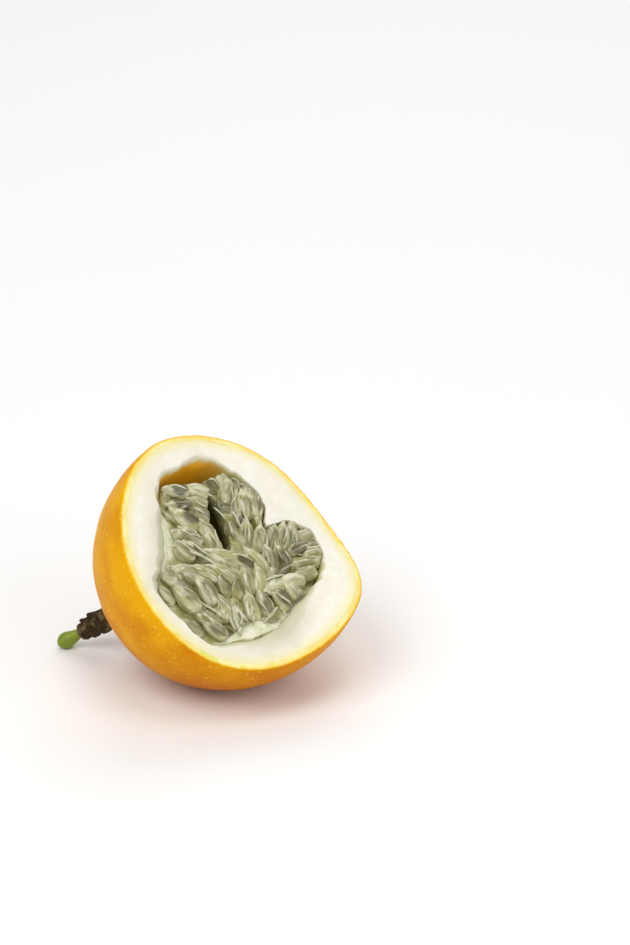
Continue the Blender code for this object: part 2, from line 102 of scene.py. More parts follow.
@dataclass(frozen=True)
class FruitForm:
    """The form of the half in millimetres: a turned fruit, its wavy cut and its lobed bowl."""

    radius: float = 33.0
    oval: float = 1.048
    reach: float = 37.4
    shoulder: float = 50.0
    neck_end: float = 41.0
    flat_depth: float = 0.6
    cut_level: float = 3.27
    wave_radius: float = 32.0
    bowl_depth: float = 28.0
    bowl_radius: float = 25.0
    lobe_depth: float = 0.55
    lip_lift: float = 1.2
    cut_tilt: float = 37.3
    cut_turn: float = 46.0
    stalk_lean: float = 24.0
    stalk_side: float = 142.6
    oval_turn: float = 73.5

    @cached_property
    def fruit_axes(self) -> Matrix:
        """The fruit's own frame in the frame of the cut: Z runs to the stalk, X is the wide way."""
        side = Matrix.Rotation(math.radians(self.stalk_side), 3, "Z")
        lean = Matrix.Rotation(math.radians(180.0 - self.stalk_lean), 3, "Y")
        return side @ lean @ Matrix.Rotation(math.radians(self.oval_turn), 3, "Z")

    @cached_property
    def cut_axes(self) -> Matrix:
        """The frame of the cut in the frame of the whole."""
        turn = Matrix.Rotation(math.radians(self.cut_turn), 3, "Z")
        return turn @ Matrix.Rotation(math.radians(self.cut_tilt), 3, "X")

    @cached_property
    def middle(self) -> Vector:
        """The fruit's middle when its flat spot lies at the origin."""
        sizes = Matrix.Diagonal((self.radius * self.oval, self.radius, self.reach))
        axes = self.cut_axes @ self.fruit_axes @ sizes
        pull = axes.transposed() @ Vector((0.0, 0.0, 1.0))
        return axes @ pull / pull.length * (1.0 - self.flat_depth / pull.length)

    def place(self, point: Vector) -> Vector:
        """A point of the cut's frame, in metres in the frame of the whole, kept above the floor."""
        spot = self.cut_axes @ point + self.middle
        return Vector((spot.x, spot.y, max(spot.z, 0.0))) * MM

    def in_cut(self, spot: Vector) -> Vector:
        """A point in metres of the whole's frame, back in the frame of the cut."""
        return self.cut_axes.transposed() @ (spot / MM - self.middle)

    def cut_height(self, x: float, y: float) -> float:
        """Height of the wavy cut over a place in its frame."""
        angle = math.atan2(y, x)
        reach = min(math.hypot(x, y) / self.wave_radius, 1.0) ** 2
        waves = sum(c * math.cos(n * angle) + s * math.sin(n * angle) for n, (c, s) in CUT_WAVES.items())
        return self.cut_level + reach * waves

    def bowl_edge(self, angle: float) -> float:
        """Distance from the middle of the cut to the edge of the bowl, smooth between its points."""
        degrees = math.degrees(angle)
        points = BOWL_EDGE + ((BOWL_EDGE[0][0] + 360, BOWL_EDGE[0][1]),)
        if degrees < points[0][0]:
            degrees += 360
        for (start, first), (end, last) in zip(points, points[1:]):
            if degrees <= end:
                return first + (last - first) * ease((degrees - start) / (end - start))
        raise ValueError("an angle lies outside the circle")

    @staticmethod
    def _swell(angle: float, swells: Sequence[tuple[float, float, float]]) -> float:
        """The sum of some round swells at that side."""
        width = 0.0
        for middle, spread, most in swells:
            away = (math.degrees(angle) - middle + 180.0) % 360.0 - 180.0
            width += most * math.exp(-((away / spread) ** 2))
        return width

    def slope_width(self, angle: float) -> float:
        """How far the bowl's wall slopes back at that side."""
        return self._swell(angle, SLOPES)

    def sac_edge(self, angle: float) -> float:
        """Distance from the middle of the cut to which the sacs reach at that side."""
        return self.bowl_edge(angle) - self._swell(angle, SHELVES)

    def wall_point(self, angle: float, down: float, shrink: float = 0.0) -> Vector:
        """A point of the bowl's wall.

        Args:
            angle: the way round the cut, in radians.
            down: from 0 at the lip to 1 at the bottom of the bowl.
            shrink: distance inside the wall.

        Returns:
            The point in the frame of the cut.
        """
        fade = ease(down / self.lobe_depth)
        radius = self.bowl_edge(angle) * (1.0 - fade) + self.bowl_radius * fade - shrink
        lip = self.cut_height(radius * math.cos(angle), radius * math.sin(angle)) + self.lip_lift
        flat = math.sqrt(max(1.0 - down * down, 0.0)) * radius
        height = lip * (1.0 - down) - (self.bowl_depth - shrink) * down
        return Vector((flat * math.cos(angle), flat * math.sin(angle), height))

    def profile(self, latitude: float) -> tuple[float, float]:
        """Radius and height of the fruit's outline at a latitude in degrees, neck included."""
        if latitude <= self.shoulder:
            across = math.radians(latitude)
            return self.radius * math.cos(across), self.reach * math.sin(across)
        before = self.profile(self.shoulder - 6.0)
        points = [before, *NECK_OUTLINE, (NECK_OUTLINE[-1][0] - 0.3, self.neck_end + 1.0)]
        way = (latitude - self.shoulder) / (90.0 - self.shoulder) * (len(NECK_OUTLINE) - 1)
        index = min(int(way), len(NECK_OUTLINE) - 2)
        share = way - index
        a, b, c, d = (Vector(points[index + step]) for step in range(4))
        curve = 0.5 * (2 * b + (c - a) * share + (2 * a - 5 * b + 4 * c - d) * share**2)
        curve += 0.5 * (3 * b - a - 3 * c + d) * share**3
        return curve.x, curve.y

    def skin_point(self, longitude: float, latitude: float) -> Vector:
        """A point of the fruit's surface, in the frame of the cut."""
        radius, height = self.profile(latitude)
        across = Vector((radius * math.cos(longitude) * self.oval, radius * math.sin(longitude), height))
        return self.fruit_axes @ across

    def rim_latitude(self, longitude: float) -> float:
        """The latitude at which a line from the neck along the skin meets the cut."""
        low, high = -80.0, 80.0
        for _ in range(30):
            middle = (low + high) / 2.0
            point = self.skin_point(longitude, middle)
            if point.z > self.cut_height(point.x, point.y):
                low = middle
            else:
                high = middle
        return (low + high) / 2.0


# Tools for modelling

def clear_selection() -> None:
    """Leave nothing selected, so that an operator acts on the new piece alone."""
    for thing in bpy.context.selected_objects:
        thing.select_set(False)


def edit_mode(on: bool) -> None:
    """Enter or leave edit mode on the active object."""
    bpy.ops.object.mode_set(mode="EDIT" if on else "OBJECT")


def apply_modifier(piece: bpy.types.Object, kind: str, **settings: object) -> None:
    """Add a modifier with its settings and apply it."""
    modifier = piece.modifiers.new(kind.lower(), kind)
    for name, value in settings.items():
        setattr(modifier, name, value)
    with bpy.context.temp_override(object=piece, active_object=piece, selected_objects=[piece]):
        bpy.ops.object.modifier_apply(modifier=modifier.name)


def join(name: str, pieces: Sequence[bpy.types.Object]) -> bpy.types.Object:
    """Join several objects to one."""
    clear_selection()
    for piece in pieces:
        piece.select_set(True)
    bpy.context.view_layer.objects.active = pieces[0]
    bpy.ops.object.join()
    pieces[0].name = name
    pieces[0].data.name = name
    return pieces[0]


def lay_along_x() -> None:
    """Turn the body in edit mode from its upright axis to the X axis."""
    bpy.ops.mesh.select_all(action="SELECT")
    bpy.ops.transform.rotate(value=math.pi / 2, orient_axis="Y", center_override=(0.0, 0.0, 0.0))


def linked(name: str, mesh: bpy.types.Mesh) -> bpy.types.Object:
    """A new object with that mesh."""
    piece = bpy.data.objects.new(name, mesh)
    bpy.context.scene.collection.objects.link(piece)
    return piece


def mark_points(mesh: bpy.types.Mesh, name: str, value: Callable[[Vector], float]) -> None:
    """Write a number to every vertex, for the mesh's material to read."""
    layer = mesh.attributes.new(name, "FLOAT", "POINT")
    layer.data.foreach_set("value", [value(vertex.co) for vertex in mesh.vertices])


def mark_vectors(mesh: bpy.types.Mesh, name: str, vectors: Iterable[Sequence[float]]) -> None:
    """Write a vector to every vertex, for the mesh's material to read."""
    layer = mesh.attributes.new(name, "FLOAT_VECTOR", "POINT")
    for item, vector in zip(layer.data, vectors):
        item.vector = vector


class Loft:
    """A body made ring by ring: a circle is added, and its edge is extruded time and again."""

    def __init__(self, name: str, sides: int, marks: Sequence[str] = ()) -> None:
        """Add the circle and go to edit mode.

        Args:
            name: the piece's name.
            sides: how many vertices a ring has.
            marks: names of the numbers that each vertex carries for the material.
        """
        clear_selection()
        bpy.ops.mesh.primitive_circle_add(vertices=sides, radius=MM, fill_type="NOTHING")
        self.piece = bpy.context.object
        self.piece.name = name
        self.piece.data.name = name
        edit_mode(True)
        bpy.ops.mesh.select_all(action="SELECT")
        self.edit = bmesh.from_edit_mesh(self.piece.data)
        self.layers = [self.edit.verts.layers.float.new(mark) for mark in marks]
        self.ring = list(self.edit.verts)
        self.count = 0

    def add_ring(self, points: Iterable[Vector], *marks: Union[float, Sequence[float]]) -> None:
        """Extrude the last ring and put the new one at these points.

        Args:
            points: one point in metres for each side.
            marks: for each mark, one number for the ring or one for each side.
        """
        if self.count:
            bpy.ops.mesh.extrude_region()
            self.ring = [self._extruded(vertex) for vertex in self.ring]
        self.count += 1
        for vertex, point in zip(self.ring, points):
            vertex.co = point
        for layer, mark in zip(self.layers, marks):
            values = [mark] * len(self.ring) if isinstance(mark, (int, float)) else mark
            for vertex, value in zip(self.ring, values):
                vertex[layer] = value

    @staticmethod
    def _extruded(vertex: bmesh.types.BMVert) -> bmesh.types.BMVert:
        """The new vertex that an extrusion drew from this one."""
        return next(o for o in (e.other_vert(vertex) for e in vertex.link_edges) if o.select)

    def finish(self, smooth_angle: float = 50.0) -> bpy.types.Object:
        """Close seams and poles, turn the faces outwards and shade the body smooth."""
        bpy.ops.mesh.select_all(action="SELECT")
        bpy.ops.mesh.remove_doubles(threshold=WELD * MM)
        bpy.ops.mesh.normals_make_consistent(inside=False)
        edit_mode(False)
        bpy.ops.object.shade_smooth_by_angle(angle=math.radians(smooth_angle))
        return self.piece


# Tools for materials

Source = Union["Number", bpy.types.NodeSocket, float, tuple]


@dataclass(frozen=True)
class Reach:
    """Where something starts to show and where it shows in full, which may be the lower, and how much."""

    start: float
    full: float
    most: float = 1.0


@dataclass(frozen=True)
class Patches:
    """Soft patches: the size of their noise in millimetres, and the noise that they show from."""

    size: float
    start: float
    full: float
    most: float = 1.0
    detail: float = 2.0


class Number:
    """A shader's number: an expression on it adds its Math nodes."""

    def __init__(self, graph: "Graph", socket: bpy.types.NodeSocket) -> None:
        """Wrap a socket of a graph."""
        self.graph = graph
        self.socket = socket

    def _math(self, operation: str, *values: Source, clamp: bool = False) -> "Number":
        """The result of a Math node."""
        settings = {"operation": operation, "use_clamp": clamp}
        node = self.graph.add("ShaderNodeMath", settings, dict(enumerate(values)))
        return Number(self.graph, node.outputs[0])

    def __add__(self, other: Source) -> "Number":
        """Sum."""
        return self._math("ADD", self, other)

    def __sub__(self, other: Source) -> "Number":
        """Difference."""
        return self._math("SUBTRACT", self, other)

    def __rsub__(self, other: Source) -> "Number":
        """Difference the other way round."""
        return self._math("SUBTRACT", other, self)

    def __mul__(self, other: Source) -> "Number":
        """Product."""
        return self._math("MULTIPLY", self, other)

    __radd__ = __add__
    __rmul__ = __mul__

    def over(self, reach: "Reach") -> "Number":
        """0 before the reach's start, its most from where it is full, and even in between."""
        share = self._math("MULTIPLY", self - reach.start, 1.0 / (reach.full - reach.start), clamp=True)
        return share if reach.most == 1.0 else share * reach.most

    def least(self, other: Source) -> "Number":
        """The smaller of the two."""
        return self._math("MINIMUM", self, other)


class Graph:
    """A material's nodes round its Principled shader."""

    def __init__(self, name: str, **values: Source) -> None:
        """Start a material and set sockets of its shader, with spaces in their names as underlines."""
        self.material = bpy.data.materials.new(name)
        self.material.use_nodes = True
        self.tree = self.material.node_tree
        self.shader = self.tree.nodes["Principled BSDF"]
        self.set(**values)

    def put(self, socket: bpy.types.NodeSocket, value: Source) -> None:
        """Link a socket, or set its value."""
        if isinstance(value, Number):
            value = value.socket
        if isinstance(value, bpy.types.NodeSocket):
            self.tree.links.new(value, socket)
        elif isinstance(value, tuple) and len(socket.default_value) == 4:
            socket.default_value = (*value, 1.0)
        else:
            socket.default_value = value

    def set(self, **values: Source) -> None:
        """Set or link sockets of the Principled shader."""
        for name, value in values.items():
            self.put(self.shader.inputs[name.replace("_", " ")], value)

    def add(self, kind: str, settings: dict, values: dict) -> bpy.types.Node:
        """Add a node.

        Args:
            kind: the node's type.
            settings: what is set on the node first.
            values: the value or link of each socket, by its name or place.

        Returns:
            The node.
        """
        node = self.tree.nodes.new(kind)
        for name, value in settings.items():
            setattr(node, name, value)
        for name, value in values.items():
            self.put(node.inputs[name], value)
        return node

    @cached_property
    def spot(self) -> bpy.types.NodeSocket:
        """The place on the object, in millimetres."""
        place = self.add("ShaderNodeTexCoord", {}, {}).outputs["Object"]
        scaled = self.add("ShaderNodeVectorMath", {"operation": "SCALE"}, {0: place, "Scale": 1.0 / MM})
        return scaled.outputs[0]

    def height(self, vector: Source) -> Number:
        """The Z of a vector."""
        return Number(self, self.add("ShaderNodeSeparateXYZ", {}, {0: vector}).outputs["Z"])

    def mark(self, name: str) -> Number:
        """A number that the mesh carries."""
        node = self.add("ShaderNodeAttribute", {"attribute_name": name}, {})
        return Number(self, node.outputs["Fac"])

    def mark_vector(self, name: str) -> bpy.types.NodeSocket:
        """A vector that the mesh carries."""
        return self.add("ShaderNodeAttribute", {"attribute_name": name}, {}).outputs["Vector"]

    def cloud(self, size: float, detail: float = 2.0, rough: float = 0.5, where: Source = None) -> Number:
        """Soft noise around 0.5, with lumps of that size in millimetres."""
        where = self.spot if where is None else where
        values = {"Vector": where, "Scale": 1.0 / size, "Detail": detail, "Roughness": rough}
        return Number(self, self.add("ShaderNodeTexNoise", {}, values).outputs["Fac"])

    def patches(self, look: Patches, where: Source = None) -> Number:
        """How much of some soft patches shows."""
        noisy = self.cloud(look.size, look.detail, where=where)
        return noisy.over(Reach(look.start, look.full, look.most))

    def wander(self, size: float, most: float, where: Source = None) -> Number:
        """Soft noise around zero, to make an edge uneven."""
        return (self.cloud(size, where=where) - 0.5) * most

    def cells(self, size: float, output: str = "Distance") -> Number:
        """Voronoi cells of that size: the distance from their middles, or their random grey."""
        node = self.add("ShaderNodeTexVoronoi", {}, {"Vector": self.spot, "Scale": 1.0 / size})
        return Number(self, node.outputs[output])

    def mix(self, share: Source, first: Source, second: Source) -> bpy.types.NodeSocket:
        """A colour between two."""
        node = self.add("ShaderNodeMix", {"data_type": "RGBA"}, {0: share, 6: first, 7: second})
        return node.outputs[2]

    def dress(self, hue: Source, roughness: tuple[float, float], grain: Number) -> None:
        """Set the colour and the roughness, which is a least value and a share of a grain."""
        self.set(Base_Color=hue, Roughness=roughness[0] + grain * roughness[1])

    def bump(self, height: Source, depth: float) -> None:
        """Relief of that depth in millimetres on the Principled shader."""
        values = {"Height": height, "Distance": depth * MM, "Strength": 1.0}
        self.set(Normal=self.add("ShaderNodeBump", {}, values).outputs["Normal"])


# Finishes

@dataclass(frozen=True)
class SkinFinish:
    """Waxy orange skin with fine pale speckles, painted light on its top and painted shade towards the floor,
    and the pale yellow edge where it is cut.
    """

    deep: Colour = tint(216, 136, 0)
    # The brighter orange of the mottle, and of the painted light on the top
    bright: Colour = tint(238, 171, 0)
    # Painted shade: the skin darkens to this orange towards the floor
    low: Colour = tint(188, 104, 0)
    speckle: Colour = tint(250, 206, 70)
    neck: Colour = tint(160, 84, 14)
    edge: Colour = tint(244, 208, 62)
    pale: Colour = tint(248, 238, 168)
    warm: Colour = tint(248, 222, 134)
    green: Colour = tint(226, 224, 96)
    # Heights over the floor (mm) for the painted light on the top and the painted shade at the bottom, and
    # the share of the neck
    # Painted light: from this height up the skin is lifted towards the bright orange
    lit_height: Reach = Reach(22.0, 34.0, 0.45)
    painted_shade_height: Reach = Reach(27.0, 8.0, 0.92)
    painted_shade_size: float = 9.0
    painted_shade_wander: float = 8.0
    neck_reach: Reach = Reach(0.25, 1.0, 0.85)
    # Depths in from the outside (mm)
    edge_depth: Reach = Reach(0.02, 0.5)
    pale_depth: Reach = Reach(0.25, 1.0)
    edge_wander: tuple[float, float] = (1.6, 0.35)
    pale_wander: float = 1.6
    mottle: Patches = Patches(11.0, 0.35, 0.68, detail=3.0)
    warm_patches: Patches = Patches(7.0, 0.42, 0.6)
    green_patches: Patches = Patches(4.5, 0.62, 0.7, 0.8)
    speckle_sizes: tuple[float, float] = (0.85, 1.955)
    speckle_reach: float = 0.26
    speckle_blur: Reach = Reach(0.06, -0.06)
    speckle_share: float = 0.6
    roughness: tuple[float, float] = (0.36, 0.16)
    wax_size: float = 2.5
    # Relief: pores, speckles and lumps
    relief_sizes: tuple[float, float] = (0.7, 4.0)
    relief_shares: tuple[float, float, float] = (0.5, 0.35, 1.6)
    relief_depth: float = 0.12

    def material(self) -> bpy.types.Material:
        """Build the material."""
        graph = Graph("waxy_skin", Coat_Weight=0.03, Coat_Roughness=0.3, Specular_IOR_Level=0.04)
        height = graph.height(graph.spot)
        # Mottle, plus painted light that lifts the top of the skin towards the bright orange
        lit = graph.patches(self.mottle) + height.over(self.lit_height)
        hue = graph.mix(lit.least(1.0), self.deep, self.bright)
        # Painted shade, darker towards the floor
        shaded = (height + graph.cloud(self.painted_shade_size) * self.painted_shade_wander).over(self.painted_shade_height)
        hue = graph.mix(shaded, hue, self.low)
        small, large = (self._dots(graph, size) for size in self.speckle_sizes)
        dots = (small + large).least(1.0)
        hue = graph.mix(dots * self.speckle_share, hue, self.speckle)
        hue = graph.mix(graph.mark("neck").over(self.neck_reach), hue, self.neck)
        depth = graph.mark("depth")
        wander = graph.wander(*self.edge_wander)
        hue = graph.mix((depth + wander).over(self.edge_depth), hue, self.edge)
        pale = graph.mix(graph.patches(self.warm_patches), self.pale, self.warm)
        pale = graph.mix(graph.patches(self.green_patches), pale, self.green)
        hue = graph.mix((depth + wander * self.pale_wander).over(self.pale_depth), hue, pale)
        graph.dress(hue, self.roughness, graph.cloud(self.wax_size))
        pores, lumps = graph.cloud(self.relief_sizes[0], 3.0), graph.cloud(self.relief_sizes[1])
        pore_share, dot_share, lump_share = self.relief_shares
        graph.bump(pores * pore_share + dots * dot_share + lumps * lump_share, self.relief_depth)
        return graph.material

    def _dots(self, graph: Graph, size: float) -> Number:
        """Round speckles, one in most cells and of uneven size."""
        reach = graph.cells(size, "Color") * self.speckle_reach
        return (graph.cells(size) - reach).over(self.speckle_blur)


@dataclass(frozen=True)
class PithFinish:
    """Spongy cream-white pith, yellower at the skin and green where the jelly touches it, with painted shade:
    grey on the sloping lip, olive down the bowl's wall, and golden in the hollow where light through the skin
    is painted on the shaded wall.
    """

    white: Colour = tint(247, 243, 230)
    shade: Colour = tint(240, 235, 217)
    margin: Colour = tint(246, 234, 172)
    # Painted shade: grey on the slope where the lip falls back into the bowl
    slope: Colour = tint(216, 210, 186)
    rim: Colour = tint(198, 200, 122)
    # Painted shade: olive deeper down the bowl's wall, below the green rim
    olive: Colour = tint(178, 174, 88)
    # Painted golden shade in the hollow, where light through the skin falls on the shaded wall
    deep: Colour = tint(236, 166, 10)
    sponge: Patches = Patches(3.2, 0.35, 0.7, detail=4.0)
    # Depths in from the skin, and down from the cut (mm)
    margin_depth: Reach = Reach(4.6, 1.5)
    painted_slope_shade_down: Reach = Reach(-5.0, 0.4)
    rim_down: Reach = Reach(0.3, 1.5, 0.75)
    painted_olive_shade_down: Reach = Reach(1.3, 3.4)
    painted_hollow_shade_down: Reach = Reach(0.9, 2.2)
    bare_slope: Reach = Reach(0.0, 0.8, 0.85)
    margin_wander: tuple[float, float] = (2.0, 0.8)
    lip_wander: tuple[float, float] = (2.4, 1.6)
    scatter: Colour = (1.0, 0.75, 0.45)
    roughness: tuple[float, float] = (0.55, 0.2)
    dry_size: float = 1.5
    relief_sizes: tuple[float, float] = (0.5, 2.6)
    lump_share: float = 1.5
    relief_depth: float = 0.14

    def material(self) -> bpy.types.Material:
        """Build the material."""
        graph = Graph("spongy_pith", Subsurface_Weight=0.25, Subsurface_Scale=1.6 * MM)
        graph.set(Subsurface_Radius=self.scatter, Specular_IOR_Level=0.3)
        hue = graph.mix(graph.patches(self.sponge), self.white, self.shade)
        depth = graph.mark("depth") + graph.wander(*self.margin_wander)
        hue = graph.mix(depth.over(self.margin_depth), hue, self.margin)
        down = graph.mark("lip") + graph.wander(*self.lip_wander)
        slope = graph.mark("slope")
        bare = 1.0 - slope.over(self.bare_slope)
        # Painted grey shade on the sloping lip
        hue = graph.mix(down.over(self.painted_slope_shade_down) * slope, hue, self.slope)
        hue = graph.mix(down.over(self.rim_down) * bare, hue, self.rim)
        # Painted olive shade deeper down the wall
        hue = graph.mix(down.over(self.painted_olive_shade_down) * bare, hue, self.olive)
        # Painted golden shade and light through the skin on the hollow's wall
        hue = graph.mix(down.over(self.painted_hollow_shade_down) * graph.mark("hollow"), hue, self.deep)
        graph.dress(hue, self.roughness, graph.cloud(self.dry_size))
        pores, lumps = graph.cloud(self.relief_sizes[0], 4.0, 0.6), graph.cloud(self.relief_sizes[1])
        graph.bump(pores + lumps * self.lump_share, self.relief_depth)
        return graph.material


@dataclass(frozen=True)
class SacFinish:
    """Wet translucent jelly in a thin skin over a dark seed, with pale lengthwise fibres that are partly
    painted highlights, and broad streaks of painted highlight.
    """

    jelly: Colour = tint(230, 227, 174)
    olive: Colour = tint(174, 166, 84)
    shade: Colour = tint(154, 147, 88)
    # Pale fibres of the skin, partly painted highlights
    fibre: Colour = tint(250, 248, 214)
    seed: Colour = tint(80, 72, 12)
    # The grain of the sac's skin
    fibre_size: float = 0.58
    fibre_reach: Reach = Reach(0.52, 0.68)
    shade_patches: Patches = Patches(1.1, 0.42, 0.7)
    # Broad pale streaks: painted highlights on the wet skin
    painted_highlight_streaks: Patches = Patches(1.3 / 1.7, 0.52, 0.64)
    lump_size: float = 0.9
    # The seed below: how flat its mark is, its blurred edge, and how far up it shows
    seed_flat: Colour = (1.0, 1.0, 0.3)
    seed_wander: tuple[float, float] = (0.9, 0.6)
    seed_reach: Reach = Reach(1.3, 0.85)
    seed_above: Reach = Reach(-0.1, 0.25)
    tail_reach: Reach = Reach(0.2, 1.0, 0.6)
    # Strengths: the seed, the fibres, the painted highlight streaks, and what an olive tone and the seed take
    # from them
    seed_share: float = 0.9
    fibre_share: float = 0.85
    painted_highlight_share: float = 0.8
    olive_hides: float = 0.7
    seed_hides: tuple[float, float] = (0.75, 0.8)
    roughness: tuple[float, float] = (0.14, 0.16)
    relief_shares: tuple[float, float] = (0.7, 1.5)
    relief_depth: float = 0.28

    def material(self) -> bpy.types.Material:
        """Build the material."""
        graph = Graph("wet_sac", Transmission_Weight=0.3, IOR=1.36, Coat_Weight=1.0, Coat_Roughness=0.05)
        grain = graph.mark_vector("grain")
        fibres = graph.cloud(self.fibre_size, 3.0, 0.55, grain)
        tone = graph.mark("tone")
        body = graph.mix(graph.patches(self.shade_patches, grain), self.jelly, self.shade)
        body = graph.mix(tone, body, self.olive)
        under = self._seed_below(graph, grain)
        hue = graph.mix(under * self.seed_share, body, self.seed)
        # Pale fibres of the skin, partly painted highlights, fewer on olive sacs and over the seed
        pale = fibres.over(self.fibre_reach) * (1.0 - tone * self.olive_hides)
        pale = pale * (1.0 - under * self.seed_hides[0])
        hue = graph.mix(pale * self.fibre_share, hue, self.fibre)
        # Painted highlights in broad pale streaks, fewer over the seed
        wide = graph.patches(self.painted_highlight_streaks, grain) * (1.0 - under * self.seed_hides[1])
        hue = graph.mix(wide * self.painted_highlight_share, hue, self.fibre)
        hue = graph.mix(graph.mark("tail").over(self.tail_reach), hue, self.fibre)
        graph.dress(hue, self.roughness, fibres)
        lumps = graph.cloud(self.lump_size, where=grain)
        graph.bump(fibres * self.relief_shares[0] + lumps * self.relief_shares[1], self.relief_depth)
        return graph.material

    def _seed_below(self, graph: Graph, grain: bpy.types.NodeSocket) -> Number:
        """How clearly the seed shows through the upper side of the sac."""
        inner = graph.mark_vector("inner")
        flat = graph.add("ShaderNodeVectorMath", {"operation": "MULTIPLY"}, {0: inner, 1: self.seed_flat})
        length = graph.add("ShaderNodeVectorMath", {"operation": "LENGTH"}, {0: flat.outputs[0]})
        reach = Number(graph, length.outputs["Value"]) + graph.wander(*self.seed_wander, grain)
        above = graph.height(inner).over(self.seed_above)
        return (reach.over(self.seed_reach) * above * graph.mark("seen")).least(1.0)


@dataclass(frozen=True)
class SeedFinish:
    """Dark olive-brown seed with fine pits."""

    dark: Colour = tint(58, 56, 34)
    light: Colour = tint(98, 94, 62)
    pit_size: float = 0.55
    pit_reach: Reach = Reach(0.1, 0.6)
    roughness: tuple[float, float] = (0.35, 0.2)
    relief_depth: float = 0.12

    def material(self) -> bpy.types.Material:
        """Build the material."""
        graph = Graph("pitted_seed", Coat_Weight=0.4)
        pits = graph.cells(self.pit_size)
        graph.dress(graph.mix(pits.over(self.pit_reach), self.dark, self.light), self.roughness, pits)
        graph.bump(pits, self.relief_depth)
        return graph.material


@dataclass(frozen=True)
class JellyFinish:
    """The wet olive jelly between the sacs, with painted shade darkening it where it lies deep, and cream
    beside the wall.
    """

    shallow: Colour = tint(158, 154, 92)
    pale: Colour = tint(190, 190, 140)
    cream: Colour = tint(236, 233, 208)
    green: Colour = tint(206, 208, 162)
    # Painted shade: the jelly darkens to this deep under the cut
    deep: Colour = tint(70, 62, 6)
    golden: Colour = tint(188, 184, 84)
    pale_patches: Patches = Patches(2.2, 0.4, 0.7, detail=3.0)
    green_patches: Patches = Patches(2.8, 0.45, 0.7, detail=3.0)
    # Distances from the wall, and depths under the cut (mm)
    beside_size: float = 1.8
    beside_wander: float = 1.6
    beside_wall: Reach = Reach(2.2, 0.4)
    beside_sunk: Reach = Reach(8.5, 6.0)
    painted_shade_sunk: Reach = Reach(4.6, 8.0)
    roughness: tuple[float, float] = (0.16, 0.15)
    wet_size: float = 1.0
    lump_size: float = 1.4
    relief_depth: float = 0.5

    def material(self) -> bpy.types.Material:
        """Build the material."""
        graph = Graph("olive_jelly", Subsurface_Weight=0.2, Subsurface_Scale=2.0 * MM, Coat_Weight=0.5)
        graph.set(Coat_Roughness=0.08)
        hue = graph.mix(graph.patches(self.pale_patches), self.shallow, self.pale)
        sunk = graph.mark("sunk")
        beside = graph.mark("from_wall") + graph.cloud(self.beside_size) * self.beside_wander
        beside = beside.over(self.beside_wall) * sunk.over(self.beside_sunk)
        shelf = graph.mix(graph.patches(self.green_patches), self.cream, self.green)
        shelf = graph.mix(graph.mark("far_lobe"), shelf, self.golden)
        hue = graph.mix(beside, hue, shelf)
        # Painted shade where the jelly lies deep
        hue = graph.mix(sunk.over(self.painted_shade_sunk) * (1.0 - beside), hue, self.deep)
        graph.dress(hue, self.roughness, graph.cloud(self.wet_size))
        graph.bump(graph.cloud(self.lump_size, 3.0), self.relief_depth)
        return graph.material


@dataclass(frozen=True)
class StringFinish:
    """Cream strings that hold the sacs to the wall."""

    cream: Colour = tint(226, 224, 196)
    green: Colour = tint(186, 188, 142)
    green_patches: Patches = Patches(1.6, 0.38, 0.62, detail=3.0)
    roughness: tuple[float, float] = (0.3, 0.2)
    wet_size: float = 0.6
    fibre_size: float = 0.3
    relief_depth: float = 0.1

    def material(self) -> bpy.types.Material:
        """Build the material."""
        graph = Graph("cream_string", Transmission_Weight=0.25, IOR=1.36, Coat_Weight=0.3)
        hue = graph.mix(graph.patches(self.green_patches), self.cream, self.green)
        graph.dress(hue, self.roughness, graph.cloud(self.wet_size))
        graph.bump(graph.cloud(self.fibre_size, 3.0), self.relief_depth)
        return graph.material


@dataclass(frozen=True)
class BarkFinish:
    """Dry dark brown stalk with furrows and lighter worn patches."""

    dark: Colour = tint(42, 30, 10)
    brown: Colour = tint(70, 53, 24)
    worn: Colour = tint(122, 104, 68)
    furrow_size: float = 0.5
    furrow_reach: Reach = Reach(0.38, 0.62)
    worn_patches: Patches = Patches(3.0, 0.54, 0.66, 0.75)
    roughness: tuple[float, float] = (0.75, 0.15)
    lump_size: float = 0.9
    relief_depth: float = 0.25

    def material(self) -> bpy.types.Material:
        """Build the material."""
        graph = Graph("dry_bark", Specular_IOR_Level=0.25)
        furrows = graph.cloud(self.furrow_size, 4.0, 0.6, graph.mark_vector("grain"))
        hue = graph.mix(furrows.over(self.furrow_reach), self.dark, self.brown)
        hue = graph.mix(graph.patches(self.worn_patches), hue, self.worn)
        graph.dress(hue, self.roughness, furrows)
        graph.bump(furrows + graph.cloud(self.lump_size, 3.0), self.relief_depth)
        return graph.material


@dataclass(frozen=True)
class GreenFinish:
    """Fresh green stalk end with fine lengthwise lines."""

    green: Colour = tint(114, 136, 0)
    light: Colour = tint(142, 160, 14)
    brown: Colour = tint(96, 84, 30)
    line_size: float = 0.8
    line_reach: Reach = Reach(0.42, 0.68)
    brown_start: Reach = Reach(0.16, 0.0)
    roughness: tuple[float, float] = (0.4, 0.2)
    relief_depth: float = 0.1

    def material(self) -> bpy.types.Material:
        """Build the material."""
        graph = Graph("green_stalk", Coat_Weight=0.2, Coat_Roughness=0.3)
        lines = graph.cloud(self.line_size, where=graph.mark_vector("grain"))
        hue = graph.mix(lines.over(self.line_reach), self.green, self.light)
        hue = graph.mix(graph.mark("along").over(self.brown_start), hue, self.brown)
        graph.dress(hue, self.roughness, lines)
        graph.bump(lines, self.relief_depth)
        return graph.material


